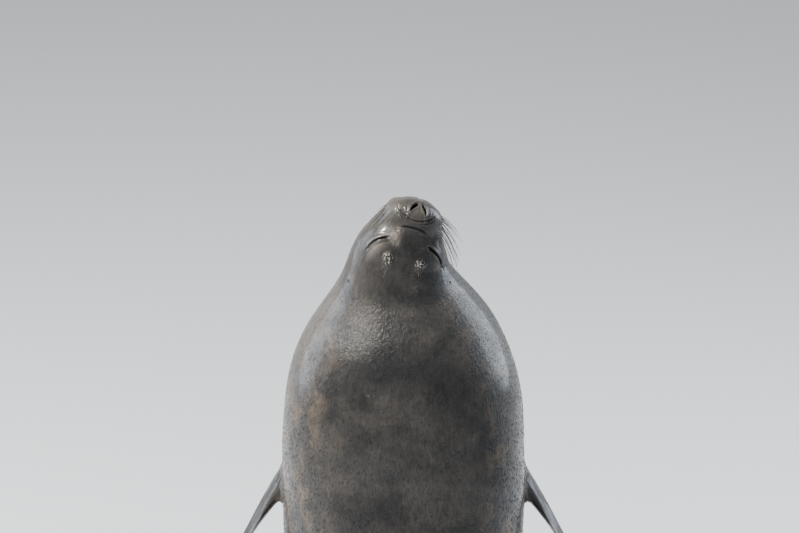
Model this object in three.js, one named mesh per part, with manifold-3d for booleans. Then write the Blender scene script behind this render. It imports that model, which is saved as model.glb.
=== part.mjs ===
// A juvenile elephant seal, life size, hanging upright as it does at the water's surface: head thrown back,
// eyes closed, nose to the sky, on a plain display stand. Millimetres, +Z up, its back towards -Y.
// The skin is one surface: s runs along the body from the nose tip, and the angle goes round it.
import * as THREE from "three";
import { mergeVertices } from "three/addons/utils/BufferGeometryUtils.js";
import Module from "manifold-3d";

const wasm = await Module();
wasm.setup();

// The gap between pieces that touch.
const GAP = 0.3;
const RAD = Math.PI / 180;

// Display stand: the origin is the middle of the base's underside.
const BASE = { length: 1360, width: 960, thickness: 40, corner: 90, bevel: 6 };
const ROD = { radius: 19, sides: 24, frontY: 150, rearY: -110 };
const FLANGE = { radius: 55, chamfer: 4, thickness: 12, sides: 32 };

// Body: where it hangs. The neck's middle at the waterline is the fixed point of the spine.
const WATERLINE = { s: 315, x: -7, y: 250, z: 1770 };
const BODY_LENGTH = 1860;
const EYE_S = 109;

// Spine: the lean towards the back, the lean to the right and the twist, in degrees, along the body.
const SPINE = {
  s: [0, 112, 150, 200, 260, 340, 480, 700, 1000, 1300, 1600, 1900],
  lean: [13, 13, 13, 12, 9, 5, 1, -6, -16, -28, -40, -50],
  side: [20, 16, 10, 1, -3, -2.5, -1, 0, 0, 0, 0, 0],
  twist: [1.5, 1.5, 1.5, 1.5, 1, 0.5, 0, 0, 0, 0, 0, 0],
};

// Section sizes along the body: half width, height of the back and of the belly above the spine.
const TRUNK = {
  s: [0, 50, 112, 160, 205, 255, 320, 400, 540, 740, 950, 1200, 1450, 1650, 1860],
  half: [59, 70, 101, 118, 134, 166, 214, 254, 284, 290, 278, 242, 186, 134, 84],
  back: [46, 56, 80, 98, 120, 152, 190, 222, 250, 258, 248, 214, 160, 108, 60],
  belly: [44, 56, 84, 104, 126, 160, 198, 228, 254, 262, 254, 220, 164, 108, 54],
};
const SQUARENESS = 2.15;
const NOSE_CAP = { length: 50, power: 2.6 };
const TAIL_CAP = { length: 60, power: 2.0, left: 1 };

// Where the body is parted, along the spine.
const PARTS = { head: 215, neck: 440, chest: 860, belly: 1290 };

// Face, in the head's own frame: r forward of the eyes, l to the side, d towards the forehead.
const EYE = {
  r: 5, l: 70, bulge: 6.5, radius: 31, lidLong: 37, lidHigh: 20, lidDeep: 16, slant: 42,
  slit: 2.4, slitLong: 33, slitBow: 5, slitDeep: 3.5,
};
const SOCKET = { depth: 1.6, radius: 50, spread: 16 };
const PADS = { r: 78, l: 44, d: -12, bulge: 6, radius: 38 };
const NOSE = { r: 100, d: 30, bulge: 6, radius: 30 };
const PHILTRUM = { depth: 2.6, width: 7, top: -4 };
const MOUTH = { tip: 108, front: -21, corner: -40, cornerR: 20, smile: 9, setBack: 22, inset: 7 };
const BROW = { r: -15, l: 38, bump: 2.6, radius: 13 };
const BRIDGE_FOLDS = [
  { r: 81, rise: 0.0085, depth: 3.2, width: 6, half: 44 },
  { r: 61, rise: -0.006, depth: 3.4, width: 6, half: 40 },
];
const NOSTRIL = { r: 100.5, l: 13.5, long: 12.5, wide: 4.8, deep: 16, splay: 40, taper: 0.35, hook: 2.4 };
const EAR = { s: 196, angle: 24, radius: 3.2, depth: 7 };

// Whiskers: on each muzzle pad, rows from the nose down and hairs from the front back.
const WHISKERS = {
  rows: 4, perRow: 4, front: 91, gap: 9, rowShift: 2, topAngle: 38, rowAngle: 14,
  long: 92, short: 34, back: 1.0, droop: 0.3, root: 0.85, tip: 0.3, sunk: 6, steps: 3, sides: 3,
};

// Flippers: sizes of the whole fan, from inside the body out to the digits' tips.
const FORE = {
  s: 680, angle: -14, inside: 0.84, length: 365, rootWidth: 100, width: 138, rootThick: 60, thick: 19,
  digits: 5, ridge: 0.4, web: 0.07, taper: 0.2, notch: 0, splay: 42, bend: 20,
};
const HIND = {
  s: 1780, side: 58, length: 380, rootWidth: 84, width: 235, rootThick: 42, thick: 17,
  digits: 5, ridge: 0.45, web: 0.07, taper: 0, notch: 0.26, splay: 7, bend: 10,
};
const TAIL = {
  s: 1790, height: 28, length: 135, rootWidth: 62, width: 40, rootThick: 34, thick: 16,
  digits: 1, ridge: 0, web: 0.22, taper: 0, notch: 0, bend: 0,
};
const NAIL = { length: 26, width: 8.5, thick: 6.5, overhang: 9, steps: 3, sides: 6, clear: 0.6 };

// How finely each form is faceted.
const MESH = { head: 56, step: 6.4, wideStep: 10, body: 40, flipperRows: 8, flipperColumns: 20, tailColumns: 6 };

const clamp01 = (x) => Math.min(1, Math.max(0, x));
const smooth = (x) => clamp01(x) ** 2 * (3 - 2 * clamp01(x));
const bell = (x) => Math.exp(-x * x);
const mix = (a, b, x) => a + (b - a) * x;

// A natural cubic spline through the points (xs, ys), straight beyond its ends.
function spline(xs, ys) {
  const n = xs.length;
  const curve = new Array(n).fill(0);
  const upper = new Array(n).fill(0);
  for (let i = 1; i < n - 1; i++) {
    const left = xs[i] - xs[i - 1];
    const right = xs[i + 1] - xs[i];
    const bend = 6 * ((ys[i + 1] - ys[i]) / right - (ys[i] - ys[i - 1]) / left);
    const pivot = 2 * (left + right) - left * upper[i - 1];
    upper[i] = right / pivot;
    curve[i] = (bend - left * curve[i - 1]) / pivot;
  }
  for (let i = n - 2; i > 0; i--) curve[i] -= upper[i] * curve[i + 1];
  return (x) => {
    let i = 0;
    while (i < n - 2 && x > xs[i + 1]) i++;
    const step = xs[i + 1] - xs[i];
    const slope = (at) =>
      (ys[i + 1] - ys[i]) / step + ((at ? 2 : -1) * curve[i + 1] - (at ? -1 : 2) * curve[i]) * (step / 6);
    if (x < xs[0]) return ys[0] + slope(0) * (x - xs[0]);
    if (x > xs[n - 1]) return ys[n - 1] + slope(1) * (x - xs[n - 1]);
    const v = (x - xs[i]) / step;
    const u = 1 - v;
    return (
      u * ys[i] + v * ys[i + 1] + ((u ** 3 - u) * curve[i] + (v ** 3 - v) * curve[i + 1]) * (step ** 2 / 6)
    );
  };
}

// The spine's frame at s: the tangent t towards the nose, l to the side and d towards the back.
const lean = spline(SPINE.s, SPINE.lean);
const side = spline(SPINE.s, SPINE.side);
const twist = spline(SPINE.s, SPINE.twist);

function axes(s) {
  const at = Math.min(Math.max(s, 0), SPINE.s[SPINE.s.length - 1]);
  const a = lean(at) * RAD;
  const b = side(at) * RAD;
  const c = twist(at) * RAD;
  const t = new THREE.Vector3(Math.sin(b), -Math.sin(a) * Math.cos(b), Math.cos(a) * Math.cos(b));
  const upright = new THREE.Vector3(0, -Math.cos(a), -Math.sin(a));
  const across = t.clone().cross(upright);
  const d = upright.multiplyScalar(Math.cos(c)).addScaledVector(across, Math.sin(c));
  return { t, l: t.clone().cross(d), d };
}

// Points of the spine every STEP, found by walking both ways from the waterline.
const STEP = 2;
const FIRST = -60;
const PAST_TAIL = 60;
const spinePoints = [];
{
  const home = Math.round((WATERLINE.s - FIRST) / STEP);
  const last = Math.round((BODY_LENGTH + PAST_TAIL - FIRST) / STEP);
  spinePoints[home] = new THREE.Vector3(WATERLINE.x, WATERLINE.y, WATERLINE.z);
  for (let i = home - 1; i >= 0; i--) {
    spinePoints[i] = spinePoints[i + 1].clone().addScaledVector(axes(FIRST + (i + 0.5) * STEP).t, STEP);
  }
  for (let i = home + 1; i <= last; i++) {
    spinePoints[i] = spinePoints[i - 1].clone().addScaledVector(axes(FIRST + (i - 0.5) * STEP).t, -STEP);
  }
}

function spineAt(s) {
  const x = Math.min(Math.max((s - FIRST) / STEP, 0), spinePoints.length - 2);
  const i = Math.floor(x);
  return spinePoints[i].clone().lerp(spinePoints[i + 1], x - i);
}

// From the body's own frame (s along, l to the side, d towards the back) to the world.
function place(s, l, d) {
  const f = axes(s);
  return spineAt(s).addScaledVector(f.l, l).addScaledVector(f.d, d);
}

// From the head's frame (r, l, d) to the world.
const placeFace = (p) => place(EYE_S - p.x, p.y, p.z);

// The plain section: half the width, and the height on the back's or the belly's side.
const half = spline(TRUNK.s, TRUNK.half);
const back = spline(TRUNK.s, TRUNK.back);
const belly = spline(TRUNK.s, TRUNK.belly);

function capAt(s) {
  const nose = clamp01(1 - s / NOSE_CAP.length);
  const tail = clamp01(1 - (BODY_LENGTH - s) / TAIL_CAP.length);
  return (
    (1 - nose ** NOSE_CAP.power) ** (1 / NOSE_CAP.power) * (1 - tail ** TAIL_CAP.power) ** (1 / TAIL_CAP.power)
  );
}

function section(s, angle) {
  const c = Math.cos(angle);
  const n = Math.sin(angle);
  const cap = capAt(s);
  const high = n > 0 ? back(s) : belly(s);
  const round = (x) => Math.sign(x) * Math.abs(x) ** (2 / SQUARENESS);
  return new THREE.Vector3(EYE_S - s, half(s) * cap * round(c), high * cap * round(n));
}

// The section's outward normal in the same frame, by small steps.
function sectionNormal(s, angle) {
  if (s < 0.5) return new THREE.Vector3(1, 0, 0);
  const e = 0.4;
  const w = 0.004;
  const along = section(Math.max(s - e, 0), angle).sub(section(Math.min(s + e, BODY_LENGTH), angle));
  const around = section(s, angle + w).sub(section(s, angle - w));
  return around.cross(along).normalize();
}

// The angle at which the back lies at l to the side.
function angleAt(s, l) {
  const flat = Math.min(0.98, (Math.abs(l) / (half(s) * capAt(s))) ** SQUARENESS);
  return Math.atan2((1 - flat) ** 0.5, Math.sign(l) * flat ** 0.5);
}

// The height of the mouth line at r, and how far a point lies below it, from 0 to 1.
const mouthLine = (r) => {
  const back01 = clamp01((MOUTH.tip - r) / (MOUTH.tip - MOUTH.cornerR));
  return MOUTH.front + (MOUTH.corner - MOUTH.front) * back01 + MOUTH.smile * back01 ** 4;
};
const jawShare = (r, d) => smooth((mouthLine(r) - d) / 9) * smooth((r - MOUTH.cornerR + 34) / 60);

// A closed eye's centre and its own axes: e1 along the slit from its inner corner, e2 towards the brow.
function eyeFrame(sign) {
  const s = EYE_S - EYE.r;
  const angle = angleAt(s, sign * EYE.l);
  const centre = section(s, angle);
  const normal = sectionNormal(s, angle);
  const out = new THREE.Vector3(-Math.sin(EYE.slant * RAD), sign * Math.cos(EYE.slant * RAD), 0);
  const e1 = out.addScaledVector(normal, -out.dot(normal)).normalize();
  const e2 = normal.clone().cross(e1).multiplyScalar(sign).normalize();
  return { centre, normal, e1, e2 };
}
const EYES = { left: eyeFrame(-1), right: eyeFrame(1) };

// How far the face stands out from the plain section at a point p of the head.
function relief(p) {
  let out = 0;
  for (const sign of [-1, 1]) {
    const eye = sign < 0 ? EYES.left : EYES.right;
    const away = p.distanceTo(eye.centre);
    out += EYE.bulge * bell(away / EYE.radius) - SOCKET.depth * bell((away - SOCKET.radius) / SOCKET.spread);
    const pad = Math.hypot(p.x - PADS.r, p.y - sign * PADS.l, (p.z - PADS.d) * 0.8);
    out += PADS.bulge * bell(pad / PADS.radius);
    const brow = Math.hypot(p.x - BROW.r, p.y - sign * BROW.l);
    if (p.z > 0) out += BROW.bump * bell(brow / BROW.radius);
  }
  out += NOSE.bulge * bell(Math.hypot(p.x - NOSE.r, p.y * 0.8, p.z - NOSE.d) / NOSE.radius);
  if (p.x > 60) out -= PHILTRUM.depth * bell(p.y / PHILTRUM.width) * smooth((PHILTRUM.top - p.z) / 12);
  if (p.z > 0) {
    for (const fold of BRIDGE_FOLDS) {
      const off = p.x - fold.r - fold.rise * p.y ** 2;
      out -= fold.depth * bell(off / fold.width) * smooth((fold.half - Math.abs(p.y)) / 14);
    }
  }
  return out;
}

// A point of the finished skin in the head's frame, with the lower jaw set back under the lip.
const FACE_END = 330;

function skinPoint(s, angle, grow = 0) {
  const p = section(s, angle);
  const normal = sectionNormal(s, angle);
  let out = grow;
  if (s < FACE_END) {
    out += relief(p);
    const jaw = jawShare(p.x, p.z);
    out -= MOUTH.inset * jaw * smooth((p.x + 10) / 60);
    p.x -= MOUTH.setBack * jaw * smooth((p.x - 55) / 45);
  }
  return p.addScaledVector(normal, out);
}

const skin = (s, angle, grow = 0) => placeFace(skinPoint(s, angle, grow));

// A closed mesh through rings of points of equal count, with a fan on each end.
function loft(rings) {
  const count = rings[0].length;
  const points = rings.flat();
  const faces = [];
  for (let i = 0; i + 1 < rings.length; i++) {
    for (let j = 0; j < count; j++) {
      const k = (j + 1) % count;
      const [a, b, c, d] = [i * count + j, i * count + k, (i + 1) * count + k, (i + 1) * count + j];
      faces.push(a, b, c, a, c, d);
    }
  }
  for (const [row, turned] of [[0, true], [rings.length - 1, false]]) {
    const middle = new THREE.Vector3();
    rings[row].forEach((p) => middle.addScaledVector(p, 1 / count));
    points.push(middle);
    for (let j = 0; j < count; j++) {
      const a = row * count + j;
      const b = row * count + ((j + 1) % count);
      if (turned) faces.push(b, a, points.length - 1);
      else faces.push(a, b, points.length - 1);
    }
  }
  return fromFaces(points, faces);
}

function fromFaces(points, faces) {
  const geometry = new THREE.BufferGeometry().setFromPoints(points);
  geometry.setIndex(faces);
  return geometry;
}

// A solid from a closed mesh, turned the right way out.
function toSolid(geometry) {
  const bare = geometry.clone();
  bare.deleteAttribute("normal");
  bare.deleteAttribute("uv");
  const merged = mergeVertices(bare, 1e-3);
  const build = (triangles) =>
    new wasm.Manifold(
      new wasm.Mesh({
        numProp: 3,
        vertProperties: merged.attributes.position.array,
        triVerts: new Uint32Array(triangles),
      }),
    );
  const faces = Array.from(merged.index.array);
  const solid = build(faces);
  if (solid.volume() > 0) return solid;
  for (let i = 0; i < faces.length; i += 3) [faces[i + 1], faces[i + 2]] = [faces[i + 2], faces[i + 1]];
  return build(faces);
}

// The largest closed body of a solid, which drops loose scraps.
function largest(solid) {
  return solid.decompose().sort((a, b) => b.volume() - a.volume())[0];
}

function toGeometry(solid) {
  const mesh = solid.getMesh();
  const points = new Float32Array(mesh.numVert * 3);
  for (let i = 0; i < mesh.numVert; i++) {
    points.set(mesh.vertProperties.subarray(i * mesh.numProp, i * mesh.numProp + 3), i * 3);
  }
  const geometry = new THREE.BufferGeometry();
  geometry.setAttribute("position", new THREE.BufferAttribute(points, 3));
  geometry.setIndex(new THREE.BufferAttribute(mesh.triVerts, 1));
  return geometry;
}

function ring(s, sectors, grow = 0) {
  return Array.from({ length: sectors }, (_, j) => skin(s, (2 * Math.PI * j) / sectors, grow));
}

// The places of the rings of one length of the body.
function evenly(from, to, rows) {
  return Array.from({ length: rows + 1 }, (_, i) => mix(from, to, i / rows));
}

// The head's rings: close together over the face, opening out towards the neck.
function headPlaces() {
  const end = PARTS.head - GAP / 2;
  const places = [];
  for (let i = 1; i <= 8; i++) places.push(NOSE_CAP.length * 0.45 * (1 - Math.cos((i / 8) * (Math.PI / 2))));
  let s = places[places.length - 1];
  while (s < end - MESH.wideStep) {
    s += s < 150 ? MESH.step : MESH.wideStep;
    places.push(s);
  }
  places[places.length - 1] = end;
  return places;
}

const LENGTHS = {
  chest: evenly(PARTS.neck + GAP / 2, PARTS.chest - GAP / 2, 8),
  belly: evenly(PARTS.chest + GAP / 2, PARTS.belly - GAP / 2, 8),
  hips: evenly(0, 1, 13).map((i) =>
    mix(PARTS.belly + GAP / 2, BODY_LENGTH - TAIL_CAP.left, Math.sin((i * Math.PI) / 2)),
  ),
};

// The trunk grown by the gap: what flippers, tail and rods are cut clear of.
function grownTrunk() {
  const places = [...LENGTHS.chest, ...LENGTHS.belly, ...LENGTHS.hips];
  const rings = places.map((s) => ring(s, MESH.body, GAP));
  const backwards = axes(BODY_LENGTH).t;
  rings.push(rings[rings.length - 1].map((p) => p.clone().addScaledVector(backwards, -GAP)));
  return toSolid(loft(rings));
}

const group = new THREE.Group();
const MATERIALS = {
  hide: new THREE.MeshStandardMaterial({ color: 0x4a4643, roughness: 0.35, metalness: 0 }),
  throat: new THREE.MeshStandardMaterial({ color: 0x5f5951, roughness: 0.38, metalness: 0 }),
  flipper: new THREE.MeshStandardMaterial({ color: 0x2f2b29, roughness: 0.45, metalness: 0 }),
  nail: new THREE.MeshStandardMaterial({ color: 0x1b1715, roughness: 0.3, metalness: 0 }),
  plate: new THREE.MeshStandardMaterial({ color: 0x3a2a1e, roughness: 0.5, metalness: 0 }),
  rod: new THREE.MeshStandardMaterial({ color: 0x8d9094, roughness: 0.3, metalness: 1 }),
};

function add(name, solid, material) {
  const mesh = new THREE.Mesh(toGeometry(largest(solid)), material);
  mesh.name = name;
  group.add(mesh);
}

// A block across the whole head below the mouth line and in front of the jaw's hinge.
function jawBlock(grow) {
  const [far, low, wide] = [150, -150, 130];
  const outline = [];
  for (let r = far; r >= MOUTH.cornerR; r -= 10) outline.push([r, mouthLine(Math.min(r, MOUTH.tip)) + grow]);
  outline.push([MOUTH.cornerR - 6 - grow, MOUTH.corner - 8]);
  outline.push([-38 - grow, low]);
  outline.push([far, low]);
  const rings = [-wide, wide].map((l) => outline.map(([r, d]) => placeFace(new THREE.Vector3(r, l, d))));
  return toSolid(loft(rings));
}

// A ball with three half lengths along its own axes, placed in the head's frame.
function faceBall(centre, shape, across = 20, down = 12) {
  const ball = new THREE.SphereGeometry(1, across, down);
  const points = ball.attributes.position;
  for (let i = 0; i < points.count; i++) {
    const w = placeFace(centre.clone().add(shape(points.getX(i), points.getY(i), points.getZ(i))));
    points.setXYZ(i, w.x, w.y, w.z);
  }
  return toSolid(ball);
}

// A lens-shaped block round a closed eye, and the slit between its lids.
function eyeBlock(eye, grow) {
  return faceBall(eye.centre, (x, y, z) =>
    eye.e1
      .clone()
      .multiplyScalar(x * (EYE.lidLong + grow))
      .addScaledVector(eye.e2, y * (EYE.lidHigh + grow))
      .addScaledVector(eye.normal, z * (EYE.lidDeep + grow)),
  );
}

function slitBlock(eye) {
  const rings = evenly(-1, 1, 10).map((u) => {
    const wide = (EYE.slit / 2) * Math.sqrt(1 - u * u) + 0.15;
    const mid = -EYE.slitBow * (1 - u * u);
    const corners = [[-wide, -EYE.slitDeep], [wide, -EYE.slitDeep], [wide * 1.6, 30], [-wide * 1.6, 30]];
    return corners.map(([v, n]) =>
      placeFace(
        eye.centre
          .clone()
          .addScaledVector(eye.e1, u * EYE.slitLong)
          .addScaledVector(eye.e2, mid + v)
          .addScaledVector(eye.normal, n),
      ),
    );
  });
  return toSolid(loft(rings));
}

// One nostril: a slanting, deep, comma-shaped hollow.
function nostrilBlock(sign) {
  const s = EYE_S - NOSTRIL.r;
  const angle = angleAt(s, sign * NOSTRIL.l);
  const normal = sectionNormal(s, angle);
  const turn = NOSTRIL.splay * RAD;
  const long = new THREE.Vector3(-Math.cos(turn), sign * Math.sin(turn), 0);
  const e1 = long.addScaledVector(normal, -long.dot(normal)).normalize();
  const e2 = normal.clone().cross(e1);
  const shape = (x, y, z) =>
    e1
      .clone()
      .multiplyScalar(x * NOSTRIL.long)
      .addScaledVector(e2, y * NOSTRIL.wide * (1 - NOSTRIL.taper * x) + NOSTRIL.hook * x * x * sign)
      .addScaledVector(normal, z * NOSTRIL.deep);
  return faceBall(skinPoint(s, angle), shape, 14, 9);
}

// One ear opening: a small round pit behind the eye.
function earPit(sign) {
  const angle = sign > 0 ? EAR.angle * RAD : Math.PI - EAR.angle * RAD;
  const shape = (x, y, z) => new THREE.Vector3(x, y, z).multiply(new THREE.Vector3(1, EAR.depth / EAR.radius, 1));
  return faceBall(skinPoint(EAR.s, angle), (x, y, z) => shape(x, y, z).multiplyScalar(EAR.radius), 9, 6);
}

// The whiskers of one side: each a thin cone, bent back and down, with its root sunk in the pad.
function whiskers(sign) {
  const hairs = [];
  for (let row = 0; row < WHISKERS.rows; row++) {
    for (let k = 0; k < WHISKERS.perRow; k++) {
      const s = EYE_S - (WHISKERS.front - k * WHISKERS.gap - row * WHISKERS.rowShift);
      const turn = (WHISKERS.topAngle - row * WHISKERS.rowAngle) * RAD;
      const angle = sign > 0 ? turn : Math.PI - turn;
      const normal = sectionNormal(s, angle);
      const root = skinPoint(s, angle).addScaledVector(normal, -WHISKERS.sunk);
      const long = mix(WHISKERS.short, WHISKERS.long, (k + 0.6 * row) / (WHISKERS.perRow + 0.8)) + WHISKERS.sunk;
      const way = normal.clone().add(new THREE.Vector3(-WHISKERS.back * (0.6 + 0.2 * k), 0, 0)).normalize();
      const cross = way.clone().cross(new THREE.Vector3(1, 0, 0)).normalize();
      const other = way.clone().cross(cross);
      const rings = evenly(0, 1, WHISKERS.steps).map((u) => {
        const middle = root.clone().addScaledVector(way, long * u);
        middle.x -= WHISKERS.droop * long * u * u;
        const radius = mix(WHISKERS.root, WHISKERS.tip, u);
        return Array.from({ length: WHISKERS.sides }, (_, j) => {
          const a = (2 * Math.PI * j) / WHISKERS.sides;
          const p = middle.clone().addScaledVector(cross, radius * Math.cos(a));
          return placeFace(p.addScaledVector(other, radius * Math.sin(a)));
        });
      });
      hairs.push(toSolid(loft(rings)));
    }
  }
  return hairs;
}

const headWhole = toSolid(loft(headPlaces().map((s) => ring(s, MESH.head))));
const eyeHoles = [eyeBlock(EYES.left, GAP), eyeBlock(EYES.right, GAP)];
const pits = [nostrilBlock(-1), nostrilBlock(1), earPit(-1), earPit(1)];
const bareHead = headWhole.subtract(wasm.Manifold.union([jawBlock(GAP), ...eyeHoles, ...pits]));
add("head", wasm.Manifold.union([largest(bareHead), ...whiskers(-1), ...whiskers(1)]), MATERIALS.hide);
add("lower_jaw", headWhole.intersect(jawBlock(0)), MATERIALS.throat);
for (const name of ["left", "right"]) {
  const lids = headWhole.intersect(eyeBlock(EYES[name], 0)).subtract(slitBlock(EYES[name]));
  add("closed_eye_" + name, lids, MATERIALS.hide);
}

const lengthOfBody = (places) => toSolid(loft(places.map((s) => ring(s, MESH.body))));
add("neck", lengthOfBody(evenly(PARTS.head + GAP / 2, PARTS.neck - GAP / 2, 8)), MATERIALS.hide);
add("chest", lengthOfBody(LENGTHS.chest), MATERIALS.hide);
add("belly", lengthOfBody(LENGTHS.belly), MATERIALS.hide);
add("hips", lengthOfBody(LENGTHS.hips), MATERIALS.hide);

// A point of a flipper: u from its root to its tip, v across it from -1 to 1, on its outer or inner face.
function flipperPoint(spec, frame, u, v, face, grow) {
  const web = (1 + Math.cos(Math.PI * spec.digits * (v + 1))) / 2;
  const reach = 1 - spec.web * web - (spec.taper * (v + 1)) / 2 - spec.notch * (1 - v * v);
  const along = (spec.length + grow) * u * (1 + (reach - 1) * u * u);
  const wide = (mix(spec.rootWidth, spec.width, smooth(u * 1.25)) / 2) * v + grow * v ** 9;
  const ridges = 1 + spec.ridge * (0.5 - web) * smooth((u - 0.3) / 0.3);
  const plain = (mix(spec.rootThick, spec.thick, smooth(u * 1.5)) / 2) * (1 - 0.55 * u ** 3);
  const high = plain * Math.sqrt(1 - 0.85 * v * v) * ridges + grow;
  const bend = (spec.bend * RAD) / spec.length;
  const ahead = bend ? Math.sin(bend * along) / bend : along;
  const inwards = bend ? (1 - Math.cos(bend * along)) / bend : 0;
  return frame.root
    .clone()
    .addScaledVector(frame.along, ahead)
    .addScaledVector(frame.across, wide)
    .addScaledVector(frame.normal, face * high - inwards);
}

// A flipper: two like sheets, joined round the rim.
function flipper(spec, frame, columns, grow = 0) {
  const rows = MESH.flipperRows;
  const points = [];
  for (const face of [1, -1]) {
    for (const u of evenly(0, 1, rows)) {
      for (const v of evenly(-1, 1, columns)) points.push(flipperPoint(spec, frame, u, v, face, grow));
    }
  }
  const sheet = points.length / 2;
  const at = (i, j) => i * (columns + 1) + j;
  const faces = [];
  for (let i = 0; i < rows; i++) {
    for (let j = 0; j < columns; j++) {
      const [a, b, c, d] = [at(i, j), at(i + 1, j), at(i + 1, j + 1), at(i, j + 1)];
      faces.push(a, b, c, a, c, d, a + sheet, c + sheet, b + sheet, a + sheet, d + sheet, c + sheet);
    }
  }
  const rim = [];
  for (let i = 0; i < rows; i++) rim.push(at(i, 0));
  for (let j = 0; j < columns; j++) rim.push(at(rows, j));
  for (let i = rows; i > 0; i--) rim.push(at(i, columns));
  for (let j = columns; j > 0; j--) rim.push(at(0, j));
  rim.forEach((p, i) => {
    const q = rim[(i + 1) % rim.length];
    faces.push(q, p, p + sheet, q, p + sheet, q + sheet);
  });
  return toSolid(fromFaces(points, faces));
}

// A flipper's frame: it leaves the body backwards, turned outwards by its splay.
function flipperFrame(spec, sign, l, d) {
  const { t, l: right, d: up } = axes(spec.s);
  const out = right.clone().multiplyScalar(sign);
  const [c, n] = [Math.cos(spec.splay * RAD), Math.sin(spec.splay * RAD)];
  return {
    root: place(spec.s, sign * l, d),
    along: t.clone().multiplyScalar(-c).addScaledVector(out, n),
    across: up,
    normal: out.clone().multiplyScalar(c).addScaledVector(t, n),
  };
}

// A nail on the end of one digit: a tapering, rounded rod that lies on the outer face and overhangs it.
function nail(frame, v) {
  const tip = flipperPoint(FORE, frame, 1, v, 1, 0);
  const before = flipperPoint(FORE, frame, 1 - NAIL.length / FORE.length, v, 1, 0);
  const way = tip.clone().sub(before).normalize();
  const rings = evenly(0, 1, NAIL.steps).map((u) => {
    const middle = before.clone().addScaledVector(way, u * (NAIL.length + NAIL.overhang));
    middle.addScaledVector(frame.normal, 1.2 - 2.5 * u * u);
    const size = Math.sqrt(mix(0.55, 1, smooth(u * 3))) * (1 - 0.72 * u ** 3);
    return Array.from({ length: NAIL.sides }, (_, j) => {
      const a = (2 * Math.PI * j) / NAIL.sides;
      return middle
        .clone()
        .addScaledVector(frame.across, (NAIL.width / 2) * size * Math.cos(a))
        .addScaledVector(frame.normal, (NAIL.thick / 2) * size * Math.sin(a));
    });
  });
  return toSolid(loft(rings));
}

const trunk = grownTrunk();
const SIDES = { left: -1, right: 1 };
for (const [name, sign] of Object.entries(SIDES)) {
  const shoulder = section(FORE.s, FORE.angle * RAD).multiplyScalar(FORE.inside);
  const frame = flipperFrame(FORE, sign, shoulder.y, shoulder.z);
  const hand = flipper(FORE, frame, MESH.flipperColumns).subtract(trunk);
  add("foreflipper_" + name, hand, MATERIALS.flipper);
  const around = flipper(FORE, frame, MESH.flipperColumns, NAIL.clear);
  for (let digit = 1; digit <= FORE.digits; digit++) {
    const v = (2 * digit - 1) / FORE.digits - 1;
    add("nail_" + name + "_" + digit, nail(frame, v).subtract(around), MATERIALS.nail);
  }
}
for (const [name, sign] of Object.entries(SIDES)) {
  const foot = flipper(HIND, flipperFrame(HIND, sign, HIND.side, 0), MESH.flipperColumns);
  add("hindflipper_" + name, foot.subtract(trunk), MATERIALS.flipper);
}
const dock = axes(TAIL.s);
const tailFrame = { root: place(TAIL.s, 0, TAIL.height), along: dock.t.clone().negate(), across: dock.l, normal: dock.d };
add("tail", flipper(TAIL, tailFrame, MESH.tailColumns).subtract(trunk), MATERIALS.hide);

// Stand: a flat plate with round corners, and a rod in a flange under the belly and under the hips.
function basePlate() {
  const x = BASE.width / 2 - BASE.bevel;
  const y = BASE.length / 2 - BASE.bevel;
  const corner = BASE.corner;
  const outline = new THREE.Shape();
  outline.moveTo(-x + corner, -y);
  outline.absarc(x - corner, -y + corner, corner, -Math.PI / 2, 0);
  outline.absarc(x - corner, y - corner, corner, 0, Math.PI / 2);
  outline.absarc(-x + corner, y - corner, corner, Math.PI / 2, Math.PI);
  outline.absarc(-x + corner, -y + corner, corner, Math.PI, 1.5 * Math.PI);
  const plate = new THREE.ExtrudeGeometry(outline, {
    depth: BASE.thickness - 2 * BASE.bevel,
    bevelThickness: BASE.bevel,
    bevelSize: BASE.bevel,
    bevelSegments: 1,
    curveSegments: 6,
  });
  return toSolid(plate.translate(0, 0, BASE.bevel));
}

function upright(bottomRadius, topRadius, y, bottom, height, sides) {
  const post = new THREE.CylinderGeometry(topRadius, bottomRadius, height, sides);
  return toSolid(post.rotateX(Math.PI / 2).translate(0, y, bottom + height / 2));
}

add("stand_base", basePlate(), MATERIALS.plate);
for (const [name, y] of [["front", ROD.frontY], ["rear", ROD.rearY]]) {
  const foot = BASE.thickness + GAP;
  const flange = upright(FLANGE.radius, FLANGE.radius - FLANGE.chamfer, y, foot, FLANGE.thickness, FLANGE.sides);
  add("stand_flange_" + name, flange, MATERIALS.rod);
  const start = foot + FLANGE.thickness + GAP;
  let s = PARTS.neck;
  while (spineAt(s).y > y) s += STEP;
  const rod = upright(ROD.radius, ROD.radius, y, start, spineAt(s).z - start, ROD.sides);
  add("stand_rod_" + name, rod.subtract(trunk), MATERIALS.rod);
}

export default group;
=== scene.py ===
"""A juvenile elephant seal, life size, hanging upright on a plain display stand: head back, eyes closed.

The CAD model is the fixed frame. The body's own measures are in millimetres, as in the part's source, and
are made metres when a mesh is built. s runs along the body from the nose tip, the angle goes round it, and
(r, l, d) are the head's own axes: forward of the eyes, to the animal's right, and towards its back.
"""

import math

import bpy
import numpy as np
from bpy.props import FloatProperty, FloatVectorProperty, IntProperty, PointerProperty
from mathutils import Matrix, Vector
from mathutils.bvhtree import BVHTree


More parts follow.
